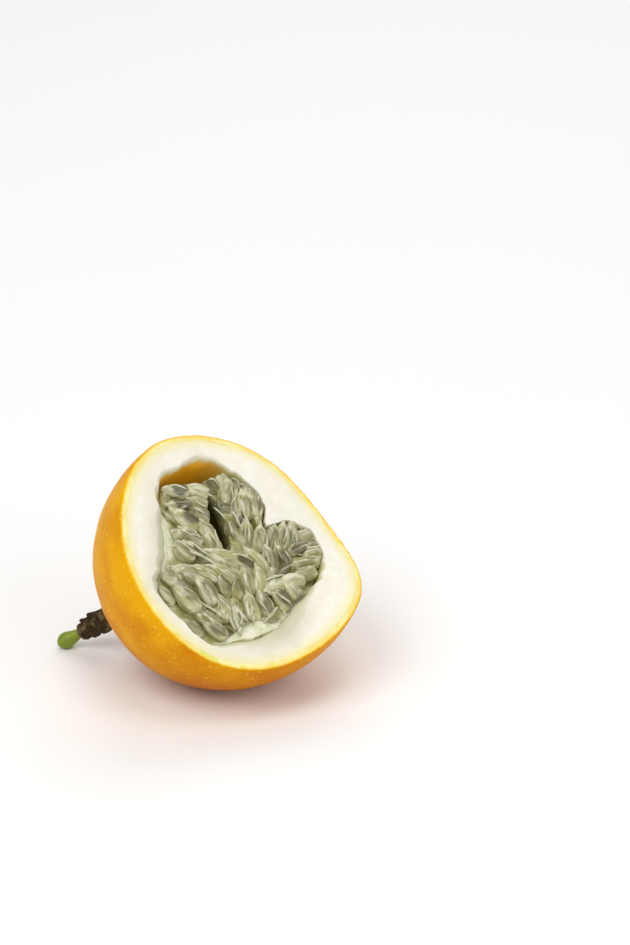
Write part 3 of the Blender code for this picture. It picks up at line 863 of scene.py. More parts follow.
@dataclass(frozen=True)
class FloorFinish:
    """Plain pale studio floor."""

    pale: Colour = (0.96, 0.96, 0.955)
    shade: Colour = (0.9, 0.9, 0.89)
    cloud_size: float = 60.0
    cloud_share: float = 0.05

    def material(self) -> bpy.types.Material:
        """Build the material."""
        graph = Graph("pale_floor", Roughness=0.8, Specular_IOR_Level=0.2)
        clouds = graph.cloud(self.cloud_size) * self.cloud_share
        graph.set(Base_Color=graph.mix(clouds, self.pale, self.shade))
        return graph.material


# Sub-assemblies

def hand_over(piece: bpy.types.Object, finish: object, slot: str, *nodes: str) -> bpy.types.Object:
    """Dress a piece, give it its body, hide the nodes that it stands for, and report it."""
    piece.data.materials.clear()
    piece.data.materials.append(finish.material())
    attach(piece, BODY)
    if nodes:
        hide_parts(*nodes)
    piece.data.calc_loop_triangles()
    log.info("%s: %d triangles, for %s", piece.name, len(piece.data.loop_triangles), ", ".join(nodes) or slot)
    return piece


@dataclass
class Rind:
    """The skin and the pith under it, both run from the neck up over the rim."""

    form: FruitForm
    columns: int = 288
    skin_rings: int = 68
    hidden_rings: int = 10
    face_rings: int = 22
    lip_rings: int = 8
    wall_rings: int = 22
    skin_depth: float = 1.75
    edge_depths: tuple[float, ...] = (0.1, 0.3, 0.55, 0.85, 1.15, 1.45, 1.75)
    rim_round: float = 0.35
    fillet: float = 0.6
    wall_start: float = 0.13
    # Soft lumps of the skin: depth, sizes of the two noises, and the share of the finer one
    dimple: float = 0.12
    dimple_sizes: tuple[float, float] = (7.0, 2.6)
    dimple_fine: float = 0.3
    # The torn skin edge: depth, grain, how much more at the right and how far round (degrees)
    ragged: float = 0.22
    ragged_size: float = 1.3
    ragged_right: float = 2.2
    ragged_spread: float = 30.0
    edge_fall: tuple[float, float] = (0.12, 0.3)
    # Latitudes (degrees): where the neck's colour starts, and how far under the rim the backs start
    neck_start: float = 52.0
    hidden_start: float = 3.0
    # How far the pith reaches under the skin, how deep its back lies and its depth mark in the bowl
    overlap: float = 0.08
    back_depth: float = 1.0
    wall_depth: float = 10.0
    # Unevenness of the cut pith: size and depth of each noise, and how far all of it lies lower
    face_noises: tuple[tuple[float, float], ...] = ((6.0, 0.16), (1.7, 0.07))
    face_drop: float = 0.08
    most_slope: float = 5.2
    slope_share: float = 0.72
    bite_depth: float = 0.45
    bite_size: float = 2.2
    # Where the wall is painted golden in the hollow: middle and spread round the cut (degrees)
    hollow_way: float = 87.0
    hollow_spread: float = 29.0

    @cached_property
    def longitudes(self) -> list[float]:
        """The columns' places round the fruit."""
        return [2.0 * math.pi * column / self.columns for column in range(self.columns)]

    @cached_property
    def rims(self) -> list[float]:
        """For each column the latitude of the rim."""
        return [self.form.rim_latitude(longitude) for longitude in self.longitudes]

    def _outer(self, column: int, latitude: float, depth: float = 0.0) -> Vector:
        """A point at that depth under the skin, with the skin's soft dimples."""
        point = self.form.skin_point(self.longitudes[column], latitude)
        large, small = (noise.noise(point / size) for size in self.dimple_sizes)
        lump = (large + small * self.dimple_fine) * self.dimple
        return point * (1.0 + (lump - depth - self.dimple) / point.length)

    def _edge(self, column: int, depth: float) -> Vector:
        """A point of the cut at that distance in from the skin."""
        rim = self._outer(column, self.rims[column])
        flat = Vector((rim.x, rim.y))
        flat *= 1.0 - depth / flat.length
        return Vector((flat.x, flat.y, self.form.cut_height(flat.x, flat.y)))

    def _relief(self, x: float, y: float) -> float:
        """Small unevenness of the cut pith."""
        spot = Vector((x, y, 0.0))
        return sum(depth * noise.noise(spot / size) for size, depth in self.face_noises) - self.face_drop

    def _hidden(self, share: float, depth: float) -> list[Vector]:
        """A hidden ring on the way from under the rim at 0 to the neck at 1."""
        starts = [rim + self.hidden_start for rim in self.rims]
        return [self._outer(c, start + (90.0 - start) * share, depth) for c, start in enumerate(starts)]

    def _tear(self, point: Vector, depth: float) -> float:
        """How far the torn skin edge stands over the cut there."""
        right = (math.degrees(math.atan2(point.y, point.x)) / self.ragged_spread) ** 4
        torn = self.ragged * (1.0 + self.ragged_right * math.exp(-right))
        fall, reach = self.edge_fall
        rough = torn * (0.5 * noise.noise(point / self.ragged_size) - 0.3)
        return rough - fall * max(1.0 - depth / reach, 0.0)

    def build_skin(self) -> bpy.types.Object:
        """Model the skin from the neck to the rim, over its cut edge and back inside."""
        loft = Loft("skin", self.columns, ("depth", "neck"))
        pole = self.form.fruit_axes @ Vector((0.0, 0.0, self.form.neck_end))
        loft.add_ring([self.form.place(pole)] * self.columns, 0.0, 1.0)
        tuck = math.degrees(self.rim_round / self.form.radius)
        for ring in range(self.skin_rings):
            share = ring / (self.skin_rings - 1)
            latitudes = [90.0 + (rim + tuck - 90.0) * share for rim in self.rims]
            points = [self._outer(c, latitude) for c, latitude in enumerate(latitudes)]
            necks = [ease((latitude - self.neck_start) / (90.0 - self.neck_start)) for latitude in latitudes]
            loft.add_ring(map(self.form.place, points), 0.0, necks)
        for depth in self.edge_depths:
            points = [self._edge(column, depth) for column in range(self.columns)]
            for point in points:
                point.z += self._tear(point, depth)
            loft.add_ring(map(self.form.place, points), depth, 0.0)
        for ring in range(1, self.hidden_rings):
            points = self._hidden(ring / (self.hidden_rings - 1), self.skin_depth)
            loft.add_ring(map(self.form.place, points), self.skin_depth, 0.0)
        pole *= 1.0 - self.skin_depth / pole.length
        loft.add_ring([self.form.place(pole)] * self.columns, self.skin_depth, 0.0)
        return loft.finish()

    def build_pith(self) -> bpy.types.Object:
        """Model the pith: its hidden back, the cut face, the rounded lip and the bowl's wall."""
        form = self.form
        back = self.skin_depth - self.overlap
        loft = Loft("pith", self.columns, ("depth", "lip", "slope", "hollow"))
        pole = form.fruit_axes @ Vector((0.0, 0.0, form.neck_end))
        pole *= 1.0 - (back + self.back_depth) / pole.length
        loft.add_ring([form.place(pole)] * self.columns, back, 0.0, 0.0, 0.0)
        for ring in range(1, self.hidden_rings):
            share = 1.0 - ring / (self.hidden_rings - 1)
            points = self._hidden(share, back + self.back_depth * share)
            loft.add_ring(map(form.place, points), back, 0.0, 0.0, 0.0)
        starts = [self._edge(column, back) for column in range(self.columns)]
        angles = [math.atan2(start.y, start.x) for start in starts]
        reaches = [math.hypot(start.x, start.y) for start in starts]
        slopes = [form.slope_width(angle) for angle in angles]
        shares = [slope / self.most_slope for slope in slopes]
        hollows = [self._hollow(angle) for angle in angles]
        lips = [self._lip_radius(angle, slope) for angle, slope in zip(angles, slopes)]
        for ring in range(self.face_rings + 1):
            share = ring / self.face_rings
            radii = [r + (lip + self.fillet - r) * share for r, lip in zip(reaches, lips)]
            points = [self._face_point(angle, radius) for angle, radius in zip(angles, radii)]
            depths = [back + r - radius for r, radius in zip(reaches, radii)]
            outs = [lip - radius for lip, radius in zip(lips, radii)]
            loft.add_ring(map(form.place, points), depths, outs, shares, hollows)
        for ring in range(1, self.lip_rings + 1):
            share = ring / self.lip_rings
            points = [self._lip_point(angle, lip, share) for angle, lip in zip(angles, lips)]
            depths = [r - math.hypot(p.x, p.y) + back for r, p in zip(reaches, points)]
            downs = [form.cut_height(p.x, p.y) - p.z for p in points]
            loft.add_ring(map(form.place, points), depths, downs, shares, hollows)
        for ring in range(1, self.wall_rings + 1):
            down = self.wall_start + (1.0 - self.wall_start) * ring / self.wall_rings
            points = [form.wall_point(angle, down) for angle in angles]
            downs = [form.cut_height(p.x, p.y) - p.z for p in points]
            loft.add_ring(map(form.place, points), self.wall_depth, downs, shares, hollows)
        return loft.finish(60.0)

    def _hollow(self, angle: float) -> float:
        """How much of the hollow, whose wall is painted golden with shade and light through the skin, lies at
        that side.
        """
        return math.exp(-(((math.degrees(angle) - self.hollow_way) / self.hollow_spread) ** 4))

    def _lip_radius(self, angle: float, slope: float) -> float:
        """Where the bowl's wall meets the cut, with the small bites that the sacs leave."""
        edge = self.form.bowl_edge(angle)
        spot = Vector((edge * math.cos(angle), edge * math.sin(angle), 0.0))
        return edge + self.slope_share * slope + self.bite_depth * noise.noise(spot / self.bite_size)

    def _face_point(self, angle: float, radius: float) -> Vector:
        """A point of the cut pith."""
        x, y = radius * math.cos(angle), radius * math.sin(angle)
        return Vector((x, y, self.form.cut_height(x, y) + self._relief(x, y)))

    def _lip_point(self, angle: float, lip: float, share: float) -> Vector:
        """A point of the rounded lip, from the cut face at 0 to the wall at 1."""
        start = self._face_point(angle, lip + self.fillet)
        corner = self._face_point(angle, lip)
        end = self.form.wall_point(angle, self.wall_start)
        rest = 1.0 - share
        return start * rest * rest + corner * (2.0 * rest * share) + end * share * share

    def build(self) -> None:
        """Build both pieces."""
        hand_over(self.build_skin(), SkinFinish(), "skin", "shell")
        hand_over(self.build_pith(), PithFinish(), "skin")


# Rows of sacs: first middle and last middle as they show through the cut (mm), how many, the way
# the first and the last point (degrees in the cut), how deep they lie (mm) and dip (degrees).
SAC_ROWS = (
    ((-7.2, 19.4), (-11.4, 7.4), 4, -22, -47, 3.0, 14),
    ((-0.6, 17.6), (-7.2, 3.2), 5, -34, -70, 3.0, 16),
    ((4.4, 19.0), (12.8, 16.0), 3, -60, -95, 3.0, 20),
    ((15.6, 16.6), (14.0, 8.2), 3, -150, -140, 2.4, 12),
    ((7.6, 14.4), (11.2, 4.6), 3, -118, -116, 2.8, 18),
    ((5.8, 9.4), (3.2, 1.0), 3, -112, -118, 4.2, 28),
    ((7.2, -0.4), (18.0, -3.4), 4, -132, -112, 2.2, 30),
    ((22.0, -4.6), (19.8, -11.6), 3, -175, 150, 2.4, 14),
    ((16.4, -8.0), (14.0, -12.2), 2, 160, 150, 3.0, 16),
    ((-16.4, 4.6), (-5.8, -2.6), 4, -62, -50, 2.8, 12),
    ((-23.6, 0.4), (-9.0, -5.4), 4, -55, -50, 2.6, 10),
    ((-23.2, -3.6), (-19.6, -17.4), 5, -80, -57, 2.4, 8),
    ((-16.8, -7.6), (-13.0, -18.6), 3, -88, -100, 2.8, 12),
    ((-11.4, -7.6), (-1.8, -11.8), 4, -96, -116, 3.0, 16),
    ((-3.0, -5.6), (9.6, -8.0), 4, -60, -100, 3.0, 16),
    ((1.2, -15.2), (11.0, -15.4), 3, -8, -6, 2.8, 8),
    ((-8.8, -16.6), (4.8, -19.6), 4, -112, -60, 3.2, 14),
)
# Where a dark seed shows through its sac: place on the cut (mm), reach and strength
DARK_SEEDS = (
    (-5.6, 19.1, 2.6, 1.1), (-8.8, 15.8, 2.0, 1.0), (-10.7, 12.2, 2.0, 0.9), (-13.6, 3.6, 2.4, 1.0),
    (-16.1, 2.4, 2.4, 0.8), (-22.1, -2.3, 2.8, 1.0), (-18.3, -17.4, 2.8, 1.1), (-10.0, -10.3, 2.8, 1.1),
    (14.0, 9.8, 2.4, 0.9), (5.7, 19.8, 2.2, 0.9), (18.3, -6.7, 3.0, 1.1), (14.6, -4.0, 2.2, 0.8),
    (8.7, -1.2, 2.2, 0.8), (-3.4, -4.6, 2.2, 0.9), (6.0, -12.0, 2.4, 0.9), (6.7, -18.5, 2.2, 0.9),
)
# Where the sacs are smooth and olive: place on the cut (mm), reach and strength
OLIVE_SPOTS = (
    (2.8, 0.7, 3.0, 0.9), (-7.6, -4.7, 3.4, 1.0), (16.0, -11.6, 4.0, 1.1), (6.5, -4.5, 3.4, 0.9),
    (-12.5, -7.2, 3.0, 0.9), (7.8, 6.9, 2.6, 0.7), (-7.6, -9.3, 3.0, 0.8),
    (15.2, 16.6, 2.8, 0.9), (23.2, -6.4, 2.6, 0.6),
)
# The longer strings: both ends on the cut (mm), how deep they lie, how far they bend up, half width
STRINGS = (
    ((2.7, 13.6), (4.1, 8.9), (2.4, 2.8), 0.6, 0.3),
    ((-15.8, 7.1), (-8.0, -1.1), (1.6, 1.4), 0.6, 0.42),
    ((-13.2, 8.2), (-6.2, -1.9), (1.6, 1.6), 0.6, 0.34),
    ((-12.2, 4.8), (-6.3, -4.9), (1.3, 1.8), 0.6, 0.38),
    ((-16.6, 7.4), (-11.4, 5.6), (1.8, 1.4), 0.4, 0.4),
    ((-22.3, 2.1), (-19.2, -7.9), (1.4, 1.3), 0.5, 0.5),
    ((-21.0, -3.7), (-17.6, -10.3), (1.2, 1.2), 0.4, 0.3),
    ((-18.5, -8.8), (-14.1, -15.9), (1.1, 1.1), 0.4, 0.42),
    ((-19.8, -11.2), (-16.2, -17.8), (1.1, 1.1), 0.4, 0.34),
    ((-10.1, -12.4), (-13.2, -20.9), (1.8, 1.4), 0.2, 0.9),
    ((-12.3, -13.2), (-13.6, -19.1), (1.5, 1.4), 0.2, 0.5),
    ((-5.6, -14.9), (-8.0, -19.4), (1.3, 2.2), 0.0, 0.62),
    ((-8.8, -13.9), (-10.7, -18.4), (1.6, 2.2), 0.0, 0.32),
    ((-5.6, -20.6), (-0.1, -19.0), (2.4, 1.2), 0.8, 0.45),
    ((-0.1, -19.0), (0.5, -22.2), (1.2, 2.6), 0.6, 0.4),
    ((13.4, 2.5), (8.9, -4.0), (1.2, 2.0), 0.5, 0.42),
    ((16.5, 2.5), (11.1, -4.9), (1.1, 1.8), 0.5, 0.38),
    ((19.3, 2.0), (13.7, -5.8), (1.1, 1.8), 0.5, 0.42),
    ((21.5, 0.3), (17.9, -5.5), (1.1, 1.6), 0.4, 0.3),
    ((24.0, -0.8), (23.8, -8.5), (1.3, 1.4), 0.3, 0.34),
    ((7.1, 10.4), (5.6, 3.1), (1.6, 1.6), 0.5, 0.4),
    ((10.0, 10.4), (8.7, 3.7), (1.5, 1.6), 0.5, 0.42),
    ((16.1, 9.4), (13.7, 4.3), (1.2, 1.3), 0.4, 0.5),
    ((16.2, 13.5), (17.0, 9.8), (1.4, 1.2), 0.3, 0.42),
    ((-0.8, 19.9), (4.7, 15.2), (1.6, 1.5), 0.5, 0.4),
    ((-6.5, 21.4), (3.6, 20.0), (2.0, 1.8), 0.4, 0.36),
    ((-5.2, 16.2), (-1.0, 11.7), (1.6, 1.6), 0.4, 0.42),
    ((-1.2, 7.3), (-4.6, 1.9), (1.6, 1.8), 0.3, 0.34),
    ((0.7, -10.7), (8.6, -12.2), (1.4, 1.8), 0.5, 0.36),
    ((0.3, -13.8), (11.4, -16.6), (1.4, 2.4), 0.5, 0.42),
    ((2.7, -1.0), (7.2, -5.5), (1.6, 1.8), 0.4, 0.3),
)


@dataclass(frozen=True)
class Sac:
    """One seed sac: its middle, the way it points and dips (radians), and its size."""

    middle: Vector
    heading: float
    dip: float
    size: float

    def turn(self) -> Matrix:
        """The sac's own frame in the frame of the cut: X runs from its tail to its free end."""
        return Matrix.Rotation(self.heading, 3, "Z") @ Matrix.Rotation(self.dip, 3, "Y")


@dataclass
class Pulp:
    """The heap of seed sacs: jelly core, sacs, seeds and the strings that hold them."""

    form: FruitForm
    seed: int = 11
    place_spread: float = 0.45
    turn_spread: float = 12.0
    dip_spread: float = 5.0
    size_spread: float = 0.14
    sight: tuple[float, float] = (0.93, 0.37)
    sac_length: float = 8.6
    sac_width: float = 4.5
    sac_taper: float = 0.22
    sac_models: int = 4
    seed_sizes: tuple[float, float, float] = (2.6, 1.65, 1.05)
    wall_gap: float = 0.3
    string_sides: int = 6
    string_rings: int = 9
    path_step: float = 0.03
    strings_for_sac: tuple[int, ...] = (1, 1, 2, 3)
    fill_grid: float = 2.6
    fill_clear: float = 3.4
    fill_drop: float = 4.4
    fill_edge: float = 2.0
    core_drop: float = 3.7
    core_level: float = 0.17
    core_gap: float = -0.3
    # How much lower the core starts on the wall, in full where the sacs stay back that far (mm)
    core_shelf: tuple[float, float] = (0.09, 3.0)
    far_lobe: tuple[float, float] = (50.0, 30.0)
    # How many sides and rings the balls have that the pieces start from
    core_fine: tuple[int, int] = (96, 48)
    hollow_fine: tuple[int, int] = (32, 20)
    sac_fine: tuple[int, int] = (24, 18)
    seed_fine: tuple[int, int] = (14, 10)
    # The jelly's surface: fineness, then the size, depth and drop of its lumps (mm)
    jelly_voxel: float = 0.55
    jelly_lumps: tuple[float, float, float] = (2.4, 0.35, 0.2)
    # A sac model of radius one: where its tail starts, how long and how thin it is drawn
    tail_start: float = -0.96
    tail_length: float = 0.2
    tail_thin: float = 0.55
    model_seed: int = 100
    least_folds: int = 4
    fold_depth: float = 0.07
    lump_depth: float = 0.18
    most_full: float = 1.16
    grain_scale: tuple[float, float] = (0.55, 1.5)
    # The sacs' draws: flatness, tone and how clearly the seed shows
    flatness: tuple[float, float] = (0.86, 1.0)
    tones: tuple[float, float] = (0.0, 0.84)
    seed_shows: tuple[float, float] = (-0.2, 0.95)
    mark_depth: float = 3.0
    seed_point: float = 0.22
    # Half widths of the strings along a sac (mm), and how flat all the strings are
    fine_strings: tuple[float, float] = (0.14, 0.42)
    fine_flat: float = 0.4
    long_flat: float = 0.55
    # Hollows: middle on the cut, depth of the middle, half sizes and turn in degrees
    top_hollow: tuple = ((3.4, 24.6), 4.4, (14.0, 4.4, 9.0), -6)
    middle_gap: tuple = ((2.0, 9.0), 5.6, (9.0, 3.0, 8.5), 68)

    @cached_property
    def sacs(self) -> list[Sac]:
        """Every sac: the rows first, then what fills between them."""
        draw = random.Random(self.seed)
        turn = math.radians(self.turn_spread)
        dips = math.radians(self.dip_spread)
        sacs = []
        for first, last, count, start_way, end_way, drop, dip in SAC_ROWS:
            for index in range(count):
                share = index / (count - 1)
                depth = drop + draw.uniform(-self.place_spread, self.place_spread)
                x = between((first[0], last[0]), share) + self.sight[0] * depth
                y = between((first[1], last[1]), share) + self.sight[1] * depth
                x += draw.uniform(-self.place_spread, self.place_spread)
                y += draw.uniform(-self.place_spread, self.place_spread)
                heading = math.radians(between((start_way, end_way), share))
                heading += draw.uniform(-turn, turn)
                pitch = math.radians(dip) + draw.uniform(-dips, dips)
                size = 1.0 + draw.uniform(-self.size_spread, self.size_spread)
                middle = Vector((x, y, self.form.cut_height(x, y) - depth))
                sacs.append(Sac(middle, heading, pitch, size))
        return sacs + self._fill(sacs, draw)

    def _fill(self, sacs: list[Sac], draw: random.Random) -> list[Sac]:
        """Deeper sacs wherever the rows leave the core bare, but for its hollows."""
        fill = []
        reach = int(1.2 * self.form.bowl_radius / self.fill_grid)
        for row in range(-reach, reach + 1):
            for column in range(-reach, reach + 1):
                x = (column + 0.5 * (row % 2)) * self.fill_grid
                y = row * self.fill_grid
                inside = self.form.bowl_edge(math.atan2(y, x)) - self.fill_edge
                near = min(math.hypot(x - sac.middle.x, y - sac.middle.y) for sac in sacs + fill)
                if math.hypot(x, y) > inside or near < self.fill_clear or self._in_hollow(x, y):
                    continue
                middle = Vector((x, y, self.form.cut_height(x, y) - self.fill_drop))
                pitch = draw.uniform(0.0, 4.0 * math.radians(self.dip_spread))
                heading = draw.uniform(-math.pi, math.pi)
                fill.append(Sac(middle, heading, pitch, 1.0 - self.size_spread))
        return fill

    def _in_hollow(self, x: float, y: float) -> bool:
        """Whether a place in the cut lies over one of the hollows."""
        for (middle_x, middle_y), _, (length, width, _), turn in (self.top_hollow, self.middle_gap):
            away = Matrix.Rotation(-math.radians(turn), 2) @ Vector((x - middle_x, y - middle_y))
            if (away.x / length) ** 2 + (away.y / width) ** 2 < 1.0:
                return True
        return False

    def _core_point(self, way: Vector) -> Vector:
        """A point of the core from a point of the unit sphere."""
        angle = math.atan2(way.y, way.x)
        shelf = self.form.bowl_edge(angle) - self.form.sac_edge(angle)
        lower, reach = self.core_shelf
        level = self.core_level - lower * min(shelf / reach, 1.0)
        down = level + (1.0 - level) * max(-way.z, 0.0)
        wall = self.form.wall_point(angle, min(down, 1.0), self.core_gap)
        if way.z <= 0.0:
            return wall
        share = math.hypot(way.x, way.y)
        x, y = wall.x * share, wall.y * share
        step = wall.z - self.form.cut_height(wall.x, wall.y) + self.core_drop
        return Vector((x, y, self.form.cut_height(x, y) - self.core_drop + step * share**4))

    def _ball(self, name: str, sides: int, rings: int) -> bpy.types.Object:
        """A ball of radius one at the origin."""
        clear_selection()
        bpy.ops.mesh.primitive_uv_sphere_add(segments=sides, ring_count=rings, radius=1.0)
        ball = bpy.context.object
        ball.name = name
        return ball

    def build_jelly(self) -> bpy.types.Object:
        """Model the core: a ball brought to the bowl's form, less its hollows, softened all over."""
        core = self._ball("jelly", *self.core_fine)
        for vertex in core.data.vertices:
            vertex.co = self.form.place(self._core_point(vertex.co))
        for (x, y), drop, sizes, turn in (self.top_hollow, self.middle_gap):
            cutter = self._ball("hollow", *self.hollow_fine)
            spin = Matrix.Rotation(math.radians(turn), 3, "Z") @ Matrix.Diagonal(sizes)
            middle = Vector((x, y, self.form.cut_height(x, y) - drop))
            for vertex in cutter.data.vertices:
                vertex.co = self.form.place(middle + spin @ vertex.co)
            apply_modifier(core, "BOOLEAN", operation="DIFFERENCE", object=cutter, solver="MANIFOLD")
            bpy.data.objects.remove(cutter)
        apply_modifier(core, "REMESH", mode="VOXEL", voxel_size=self.jelly_voxel * MM, use_smooth_shade=True)
        apply_modifier(core, "SMOOTH", factor=0.5, iterations=4)
        size, depth, drop = self.jelly_lumps
        normals = [vertex.normal.copy() for vertex in core.data.vertices]
        for vertex, normal in zip(core.data.vertices, normals):
            vertex.co += normal * (noise.noise(vertex.co / MM / size) * depth - drop) * MM
        for mark in (self._far_lobe, self._sunk, self._from_wall):
            mark_points(core.data, mark.__name__.lstrip("_"), mark)
        clear_selection()
        core.select_set(True)
        bpy.context.view_layer.objects.active = core
        bpy.ops.object.shade_smooth()
        return core

    def _sunk(self, spot: Vector) -> float:
        """How far a point of the jelly lies under the cut."""
        point = self.form.in_cut(spot)
        return self.form.cut_height(point.x, point.y) - point.z

    def _from_wall(self, spot: Vector) -> float:
        """How far a point of the jelly lies from the edge of the sacs."""
        point = self.form.in_cut(spot)
        return self.form.sac_edge(math.atan2(point.y, point.x)) - math.hypot(point.x, point.y)

    def _far_lobe(self, spot: Vector) -> float:
        """How much a point of the jelly belongs to the golden lobe."""
        point = self.form.in_cut(spot)
        way, spread = self.far_lobe
        return math.exp(-(((math.degrees(math.atan2(point.y, point.x)) - way) / spread) ** 4))

    def _model_sac(self, number: int) -> bpy.types.Mesh:
        """Model one sac along X, two units long, with folds in its skin and a drawn-out tail."""
        sac = self._ball("sac", *self.sac_fine)
        edit_mode(True)
        lay_along_x()
        bpy.ops.mesh.select_all(action="DESELECT")
        edit = bmesh.from_edit_mesh(sac.data)
        for face in edit.faces:
            if face.calc_center_median().x < self.tail_start:
                face.select_set(True)
        bmesh.update_edit_mesh(sac.data)
        bpy.ops.mesh.extrude_region()
        bpy.ops.transform.translate(value=(-self.tail_length, 0.0, 0.0))
        thin = (1.0, self.tail_thin, self.tail_thin)
        bpy.ops.transform.resize(value=thin, center_override=(-1.0 - self.tail_length, 0.0, 0.0))
        bpy.ops.mesh.select_all(action="SELECT")
        bpy.ops.mesh.normals_make_consistent(inside=False)
        edit_mode(False)
        draw = random.Random(self.model_seed + number)
        folds = self.least_folds + number % 3
        phase, twist, lean = draw.uniform(0, 6), draw.uniform(-0.8, 0.8), draw.uniform(-0.12, 0.12)
        mesh = sac.data
        mark_points(mesh, "tail", lambda co: max(-co.x - 0.35, 0.0) * 1.2)
        along, across = self.grain_scale
        sizes = Vector((along, across, across))
        mark_vectors(mesh, "grain", [vertex.co * sizes for vertex in mesh.vertices])
        for vertex in mesh.vertices:
            co = vertex.co.copy()
            around = math.atan2(co.z, co.y)
            fold = self.fold_depth * math.cos(folds * around + phase + twist * co.x)
            spot = Vector((co.x * 1.1, co.y, co.z)) + Vector((phase, 0, number))
            lump = self.lump_depth * noise.noise(spot)
            full = math.sqrt(max(1.0 - abs(co.x) ** 3, 0.03)) / math.sqrt(max(1.0 - co.x * co.x, 0.02))
            wide = (1.0 + fold + lump + self.sac_taper * co.x) * min(full, self.most_full)
            vertex.co = Vector((co.x, co.y * wide, co.z * wide + lean * (1.0 - co.x * co.x)))
        bpy.data.objects.remove(sac)
        return mesh

    def _kept(self, point: Vector, side_of: Vector) -> Vector:
        """A point brought out of the hollows, to the side of another one, and inside the bowl's wall."""
        point = point.copy()
        for (x, y), _, (length, width, _), turn in (self.top_hollow, self.middle_gap):
            spin = Matrix.Rotation(math.radians(turn), 2)
            away = spin.transposed() @ Vector((point.x - x, point.y - y))
            side = spin.transposed() @ Vector((side_of.x - x, side_of.y - y))
            half = width * math.sqrt(max(1.0 - (away.x / length) ** 2, 0.0))
            out = away.y * math.copysign(1.0, side.y)
            if out < half and abs(away.x) < length:
                away.y = math.copysign(half + 0.06 * (out - half), side.y)
                point.x, point.y = Vector((x, y)) + spin @ away
        reach = math.hypot(point.x, point.y)
        most = self.form.sac_edge(math.atan2(point.y, point.x)) - self.wall_gap
        if reach > most:
            point.x, point.y = point.x * most / reach, point.y * most / reach
        return point

    def _put(self, model: bpy.types.Mesh, sac: Sac, sizes: Vector, roll: float) -> bpy.types.Object:
        """A copy of a model at a sac's place."""
        mesh = model.copy()
        spin = sac.turn() @ Matrix.Rotation(roll, 3, "X") @ Matrix.Diagonal(sizes)
        for vertex in mesh.vertices:
            vertex.co = self.form.place(self._kept(sac.middle + spin @ vertex.co, sac.middle))
        return linked("copy", mesh)

    def _near(self, sac: Sac, spots: Sequence[tuple[float, float, float, float]]) -> float:
        """How strongly a list of spots on the cut marks the sac that is seen there.

        Args:
            sac: the sac.
            spots: for each spot its place on the cut, its reach (mm) and its strength.

        Returns:
            The strongest mark, fading with the distance from its spot.
        """
        seen_x = sac.middle.x - self.sight[0] * self.mark_depth
        seen_y = sac.middle.y - self.sight[1] * self.mark_depth
        strength = 0.0
        for x, y, reach, most in spots:
            away = math.hypot(seen_x - x, seen_y - y)
            strength = max(strength, most * math.exp(-((away / reach) ** 2)))
        return strength

    def build_sacs(self) -> bpy.types.Object:
        """Model a few sacs by hand and set copies of them at every place."""
        models = [self._model_sac(number) for number in range(self.sac_models)]
        draw = random.Random(self.seed + 1)
        copies = []
        for sac in self.sacs:
            wide = self.sac_width / 2.0 * sac.size
            sizes = Vector((self.sac_length / 2.0 * sac.size, wide, wide * draw.uniform(*self.flatness)))
            roll, model = draw.uniform(-math.pi, math.pi), draw.choice(models)
            copy = self._put(model, sac, sizes, roll)
            tone = max(draw.uniform(*self.tones) ** 2, self._near(sac, OLIVE_SPOTS))
            seen = max(draw.uniform(*self.seed_shows), self._near(sac, DARK_SEEDS) * 1.5)
            self._mark(copy.data, model, sizes, roll, {"tone": tone, "seen": seen})
            copies.append(copy)
        sacs = join("sacs", copies)
        bpy.ops.object.shade_smooth()
        return sacs

    def _mark(
        self, mesh: bpy.types.Mesh, model: bpy.types.Mesh, sizes: Vector, roll: float,
        marks: dict[str, float],
    ) -> None:
        """Mark a copied sac for its material.

        Args:
            mesh: the copy.
            model: the model that it was copied from.
            sizes: the copy's half sizes in millimetres.
            roll: its turn round its own length.
            marks: its olive tone, and how clearly its seed shows.
        """
        spin = Matrix.Rotation(roll, 3, "X") @ Matrix.Diagonal(sizes)
        shift = Vector((marks["tone"] * 31.0, roll * 7.0, marks["tone"] * 17.0))
        for item in mesh.attributes["grain"].data:
            item.vector = item.vector + shift
        for name, value in marks.items():
            mark_points(mesh, name, lambda co, value=value: value)
        seed_long, seed_wide, _ = self.seed_sizes
        spots = [spin @ vertex.co for vertex in model.vertices]
        mark_vectors(mesh, "inner", [(s.x / seed_long, s.y / seed_wide, s.z / sizes.z) for s in spots])

    def build_seeds(self) -> bpy.types.Object:
        """Model one flat seed with a pointed end and set a copy in every sac."""
        seed = self._ball("seed", *self.seed_fine)
        edit_mode(True)
        lay_along_x()
        bpy.ops.transform.resize(value=self.seed_sizes)
        edit = bmesh.from_edit_mesh(seed.data)
        for vertex in edit.verts:
            vertex.co.y *= 1.0 - self.seed_point * ease(-vertex.co.x / self.seed_sizes[0])
        bmesh.update_edit_mesh(seed.data)
        edit_mode(False)
        draw = random.Random(self.seed + 2)
        copies = []
        for sac in self.sacs:
            shift = Vector((draw.uniform(-0.5, 0.3), draw.uniform(-0.2, 0.2), draw.uniform(0.1, 0.5)))
            inside = Sac(sac.middle + sac.turn() @ shift, sac.heading, sac.dip, sac.size)
            sizes = Vector((1.0, 1.0, 1.0)) * sac.size * draw.uniform(0.9, 1.05)
            copies.append(self._put(seed.data, inside, sizes, draw.uniform(-0.5, 0.5)))
        bpy.data.objects.remove(seed)
        seeds = join("seeds", copies)
        bpy.ops.object.shade_smooth()
        return seeds

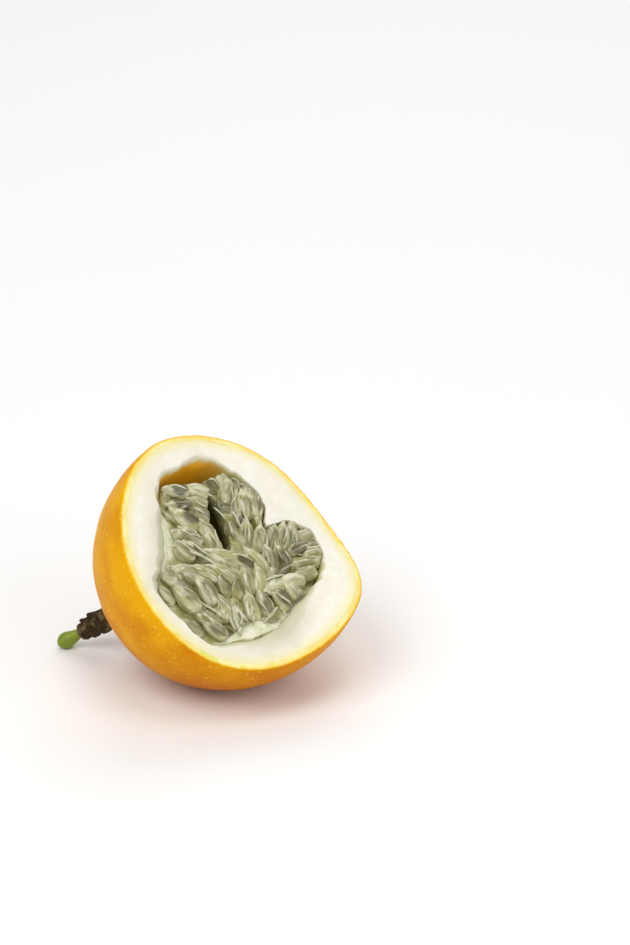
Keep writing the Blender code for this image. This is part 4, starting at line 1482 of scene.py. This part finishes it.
    def _model_string(self) -> bpy.types.Mesh:
        """Model one straight string along X, from 0 to 1, of half width one, thin at its ends."""
        loft = Loft("string", self.string_sides)
        for ring in range(self.string_rings):
            share = ring / (self.string_rings - 1)
            inside = 0 < ring < self.string_rings - 1
            wide = 0.06 + 0.94 * math.sin(math.pi * share) ** 0.6 if inside else 0.0
            turns = [2.0 * math.pi * side / self.string_sides for side in range(self.string_sides)]
            loft.add_ring([Vector((share, wide * math.cos(turn), wide * math.sin(turn))) for turn in turns])
        piece = loft.finish(80.0)
        mesh = piece.data
        bpy.data.objects.remove(piece)
        return mesh

    def _lay(self, model: bpy.types.Mesh, path: Path, wide: float, flat: float) -> bpy.types.Object:
        """A copy of the string along a path.

        Args:
            model: the straight string.
            path: the place in the frame of the cut for a share from 0 to 1.
            wide: half the string's width in millimetres.
            flat: its thickness as a share of its width.

        Returns:
            The string's object.
        """
        mesh = model.copy()
        for vertex in mesh.vertices:
            share = vertex.co.x
            before, after = max(share - self.path_step, 0.0), min(share + self.path_step, 1.0)
            along = (path(after) - path(before)).normalized()
            side = along.cross(Vector((0.0, 0.0, 1.0))).normalized()
            rise = side.cross(along)
            spot = path(share) + side * vertex.co.y * wide + rise * vertex.co.z * wide * flat
            vertex.co = self.form.place(spot)
        return linked("copy", mesh)

    def _over_sac(self, sac: Sac, around: float, sway: float, ends: Ends) -> Path:
        """A path that runs lengthwise over a sac's upper side.

        Args:
            sac: the sac.
            around: the turn from the sac's top, in radians.
            sway: how far that turn swings along the path.
            ends: where the path starts and ends, from -1 at the tail to 1.

        Returns:
            The path in the frame of the cut.
        """
        def path(share: float) -> Vector:
            """The place on the sac at that share of the way."""
            along = between(ends, share)
            wide = self.sac_width / 2.0 * sac.size * math.sqrt(max(1.0 - along * along, 0.0))
            wide *= 1.0 + self.sac_taper * along
            turn = around + sway * math.sin(3.0 * along)
            forward = self.sac_length / 2.0 * sac.size * along
            spot = Vector((forward, wide * math.sin(turn), wide * math.cos(turn)))
            return self._kept(sac.middle + sac.turn() @ spot, sac.middle)
        return path

    def _between(self, start: Ends, end: Ends, depths: Ends, bend: float) -> Path:
        """A path between two places of the cut, bent upwards.

        Args:
            start: the first place on the cut.
            end: the last place on the cut.
            depths: how deep both ends lie.
            bend: how far the middle is bent up.

        Returns:
            The path in the frame of the cut.
        """
        def path(share: float) -> Vector:
            """The place between both ends at that share of the way."""
            x, y = (between(pair, share) for pair in zip(start, end))
            arch = math.sin(math.pi * share) * bend
            wave = noise.noise(Vector((x, y, 3.0)) / 2.5) * 0.5
            return Vector((x + wave, y - wave, self.form.cut_height(x, y) - between(depths, share) + arch))
        return path

    def build_strings(self) -> bpy.types.Object:
        """Lay the cream strings: some along every sac that shows, and longer ones between them."""
        model = self._model_string()
        draw = random.Random(self.seed + 3)
        shown = sum(row[2] for row in SAC_ROWS)
        copies = []
        for sac in self.sacs[:shown]:
            for _ in range(draw.choice(self.strings_for_sac)):
                ends = (draw.uniform(-0.98, -0.6), draw.uniform(0.1, 0.8))
                path = self._over_sac(sac, draw.uniform(-1.1, 1.1), draw.uniform(-0.4, 0.4), ends)
                copies.append(self._lay(model, path, draw.uniform(*self.fine_strings), self.fine_flat))
        for start, end, depths, bend, wide in STRINGS:
            path = self._between(start, end, depths, bend)
            copies.append(self._lay(model, path, wide, self.long_flat))
        return join("strings", copies)

    def build(self) -> None:
        """Build all the pieces of the pulp."""
        hand_over(self.build_jelly(), JellyFinish(), "pulp", "pulp")
        hand_over(self.build_sacs(), SacFinish(), "pulp")
        hand_over(self.build_seeds(), SeedFinish(), "pulp")
        hand_over(self.build_strings(), StringFinish(), "pulp")


# The stalk's outline, as radius and height along the fruit's axis
STALK_OUTLINE = (
    (3.3, 41.0), (3.3, 41.6), (3.0, 42.4), (2.9, 44.1), (3.3, 44.6), (3.2, 46.0), (2.7, 46.4), (2.6, 47.9),
    (2.9, 48.4), (2.95, 49.8), (2.5, 50.1), (2.3, 50.6), (2.45, 52.0), (2.2, 52.6),
)
# Dry scales round the stalk: turn (degrees), height and distance from the axis (mm), lean (degrees)
STALK_SCALES = (
    (10, 44.6, 2.6, 16), (130, 46.2, 2.5, 16), (250, 44.2, 2.6, 16), (70, 49.4, 2.1, 16),
    (190, 48.8, 2.2, 16), (150, 47.3, 2.8, 26), (156, 50.3, 2.3, 28),
)


@dataclass
class Stalk:
    """The brown stub with its dry scales, and its green end."""

    form: FruitForm
    columns: int = 40
    bend_way: tuple[float, float, float] = (0.0, -0.91, 0.41)
    bend: float = 3.7
    tip_start: float = 52.5
    tip_end: float = 60.9
    tip_rings: int = 22
    tip_thin: float = 1.25
    tip_thick: float = 2.15
    swell_end: float = 0.6
    swell_power: float = 1.5
    round_start: float = 0.66
    # The furrows: how fine they are round the stalk, how long, and what the finer ones add
    furrow_round: float = 1.4
    furrow_length: float = 3.0
    furrow_fine: float = 2.7
    stub_rough: float = 0.16
    tip_rough: float = 0.07
    # A dry scale: thickness, width and length (mm), its narrow tip, its lumps and their size
    scale_sizes: tuple[float, float, float] = (1.5, 2.4, 2.6)
    scale_tip: float = 0.45
    scale_lump: float = 0.2
    scale_lump_size: float = 0.4

    def _place(self, point: Vector) -> Vector:
        """A point of the straight stalk in the fruit's frame, where the bent stalk has it, in metres."""
        way = self.form.cut_axes.transposed() @ Vector(self.bend_way)
        share = max((point.z - self.form.neck_end) / (self.tip_end - self.form.neck_end), 0.0)
        return self.form.place(self.form.fruit_axes @ point + way * (self.bend * share * share))

    def _rings(self, loft: Loft, outline: Sequence[tuple[float, float]], rough: float, start: float) -> None:
        """Add closed rings of a furrowed round body along the axis."""
        low, high = outline[0][1], outline[-1][1]
        for radius, height in [(0.0, low), *outline, (0.0, high)]:
            points = []
            for column in range(self.columns):
                angle = 2.0 * math.pi * column / self.columns
                across = Vector((math.cos(angle), math.sin(angle))) * self.furrow_round
                spot = Vector((across.x, across.y, height / self.furrow_length))
                furrow = noise.noise(spot) + 0.5 * noise.noise(spot * self.furrow_fine)
                wide = radius * (1.0 + rough * furrow)
                points.append(Vector((wide * math.cos(angle), wide * math.sin(angle), height)))
            loft.add_ring(map(self._place, points), (height - start) / (high - start))

    def _grain(self, mesh: bpy.types.Mesh, stretch: float) -> None:
        """Write the place along and across the stalk to every vertex, drawn out along its length."""
        back = self.form.fruit_axes.transposed()
        points = [back @ self.form.in_cut(vertex.co) for vertex in mesh.vertices]
        mark_vectors(mesh, "grain", [(point.x, point.y, point.z * stretch) for point in points])

    def _finer(self, outline: Sequence[tuple[float, float]], parts: int) -> list[tuple[float, float]]:
        """The outline with more points, smooth between the given ones."""
        points = [outline[0]]
        for (r0, h0), (r1, h1) in zip(outline, outline[1:]):
            for step in range(1, parts + 1):
                share = step / parts
                points.append((between((r0, r1), ease(share)), between((h0, h1), share)))
        return points

    def build_stub(self) -> bpy.types.Object:
        """Model the brown stub and its scales."""
        loft = Loft("stub", self.columns, ("along",))
        self._rings(loft, self._finer(STALK_OUTLINE, 3), self.stub_rough, STALK_OUTLINE[0][1])
        pieces = [loft.finish(55.0)]
        for turn, height, reach, lean in STALK_SCALES:
            pieces.append(self._scale(math.radians(turn), height, reach, math.radians(lean)))
        stub = join("stub", pieces)
        self._grain(stub.data, 0.25)
        return stub

    def _scale(self, turn: float, height: float, reach: float, lean: float) -> bpy.types.Object:
        """Model a dry scale: a block drawn narrower to its tip and rounded a little.

        Args:
            turn: its side of the stalk, in radians.
            height: the height of its middle along the fruit's axis.
            reach: the distance of its middle from the axis.
            lean: how far its tip leans out, in radians.

        Returns:
            The scale's object.
        """
        clear_selection()
        bpy.ops.mesh.primitive_cube_add(size=1.0)
        scale = bpy.context.object
        edit_mode(True)
        bpy.ops.mesh.select_all(action="DESELECT")
        edit = bmesh.from_edit_mesh(scale.data)
        for face in edit.faces:
            face.select_set(face.normal.z > 0.9)
        bmesh.update_edit_mesh(scale.data)
        narrow = (self.scale_tip, self.scale_tip, 1.0)
        bpy.ops.transform.resize(value=narrow, center_override=(0.0, 0.0, 0.5))
        bpy.ops.mesh.select_all(action="SELECT")
        bpy.ops.mesh.subdivide(number_cuts=3, smoothness=0.3)
        edit_mode(False)
        side = Matrix.Rotation(turn, 3, "Z")
        tip = Matrix.Rotation(lean, 3, "Y") @ Matrix.Diagonal(self.scale_sizes)
        for vertex in scale.data.vertices:
            spot = vertex.co / self.scale_lump_size + Vector((turn, 0, 0))
            lump = 1.0 + self.scale_lump * noise.noise(spot)
            point = side @ (tip @ (vertex.co * lump) + Vector((reach, 0.0, height)))
            vertex.co = self._place(point)
        bpy.ops.object.shade_smooth_by_angle(angle=math.radians(50.0))
        return scale

    def build_tip(self) -> bpy.types.Object:
        """Model the green end: thin at its start, swelling to a round end."""
        outline = []
        for ring in range(self.tip_rings):
            share = ring / (self.tip_rings - 1) * 0.995
            full = min(share / self.swell_end, 1.0) ** self.swell_power
            swell = between((self.tip_thin, self.tip_thick), full)
            cap = max(share - self.round_start, 0.0) / (1.0 - self.round_start)
            height = between((self.tip_start, self.tip_end), share)
            outline.append((swell * math.sqrt(1.0 - cap * cap), height))
        loft = Loft("green_end", self.columns, ("along",))
        self._rings(loft, outline, self.tip_rough, self.tip_start)
        tip = loft.finish(70.0)
        self._grain(tip.data, 0.2)
        return tip

    def build(self) -> None:
        """Build both pieces."""
        hand_over(self.build_stub(), BarkFinish(), "bark", "stalk")
        hand_over(self.build_tip(), GreenFinish(), "green_stalk", "stalk_tip")


class Lamp(Enum):
    """The studio's soft lights: place (m), size (m) and power (W)."""

    KEY = ((-0.45, -0.55, 0.95), 0.7, 5.0)
    FILL = ((0.75, -0.65, 0.55), 0.9, 2.6)
    BACK = ((0.1, 0.8, 0.8), 0.8, 3.0)
    SPARK = ((0.2, -0.2, 0.98), 0.3, 1.1)


@dataclass
class Studio:
    """Floor, lights and the camera at the photograph's place."""

    form: FruitForm
    elevation: float = 24.0
    aim_right: float = 21.2
    aim_up: float = 20.5
    distance: float = 670.5
    lens: float = 100.4
    sensor: float = 36.0
    world_light: float = 0.5
    floor_size: float = 6.0
    # How far the floor lies under the half (mm), and the height that the lamps look at (m)
    floor_drop: float = 0.02
    lit_height: float = 0.03

    def build(self) -> None:
        """Build the studio."""
        self._floor()
        for lamp in Lamp:
            self._light(lamp)
        world = bpy.data.worlds.new("studio")
        world.use_nodes = True
        light = world.node_tree.nodes["Background"].inputs
        light["Color"].default_value = (1.0, 1.0, 1.0, 1.0)
        light["Strength"].default_value = self.world_light
        bpy.context.scene.world = world
        bpy.context.scene.view_settings.view_transform = "Standard"
        self._camera()

    def _floor(self) -> None:
        """A wide pale floor just under the flat spot."""
        clear_selection()
        bpy.ops.mesh.primitive_plane_add(size=self.floor_size, location=(0.0, 0.0, 0.0))
        floor = bpy.context.object
        floor.name = "studio_floor"
        floor.location.z = -self.floor_drop * MM
        bpy.ops.object.transform_apply(location=True)
        floor.data.materials.append(FloorFinish().material())

    def _light(self, lamp: Lamp) -> None:
        """A square soft light that looks at the half."""
        place, size, power = lamp.value
        data = bpy.data.lights.new(lamp.name.lower(), "AREA")
        data.size = size
        data.energy = power
        light = bpy.data.objects.new(lamp.name.lower(), data)
        light.location = place
        way = Vector((0.0, 0.0, self.lit_height)) - Vector(place)
        light.rotation_euler = way.to_track_quat("-Z", "Y").to_euler()
        bpy.context.scene.collection.objects.link(light)

    def _camera(self) -> None:
        """The camera, as the photograph was taken: a little above, with the half at its left."""
        raised = math.radians(self.elevation)
        right = Vector((1.0, 0.0, 0.0))
        up = Vector((0.0, math.sin(raised), math.cos(raised)))
        view = Vector((0.0, math.cos(raised), -math.sin(raised)))
        aim = self.form.middle + right * self.aim_right + up * self.aim_up
        data = bpy.data.cameras.new("camera")
        data.lens = self.lens
        data.sensor_width = self.sensor
        data.clip_start = 0.01
        camera = bpy.data.objects.new("camera", data)
        camera.location = (aim - view * self.distance) * MM
        camera.rotation_euler = (math.radians(90.0 - self.elevation), 0.0, 0.0)
        bpy.context.scene.collection.objects.link(camera)
        bpy.context.scene.camera = camera


def main() -> None:
    """Build the half and its studio."""
    logging.basicConfig(level=logging.INFO, format="%(name)s: %(message)s")
    form = FruitForm()
    for part in (Rind(form), Pulp(form), Stalk(form), Studio(form)):
        part.build()
        log.info("%s is built", type(part).__name__)


if __name__ == "__main__":
    main()
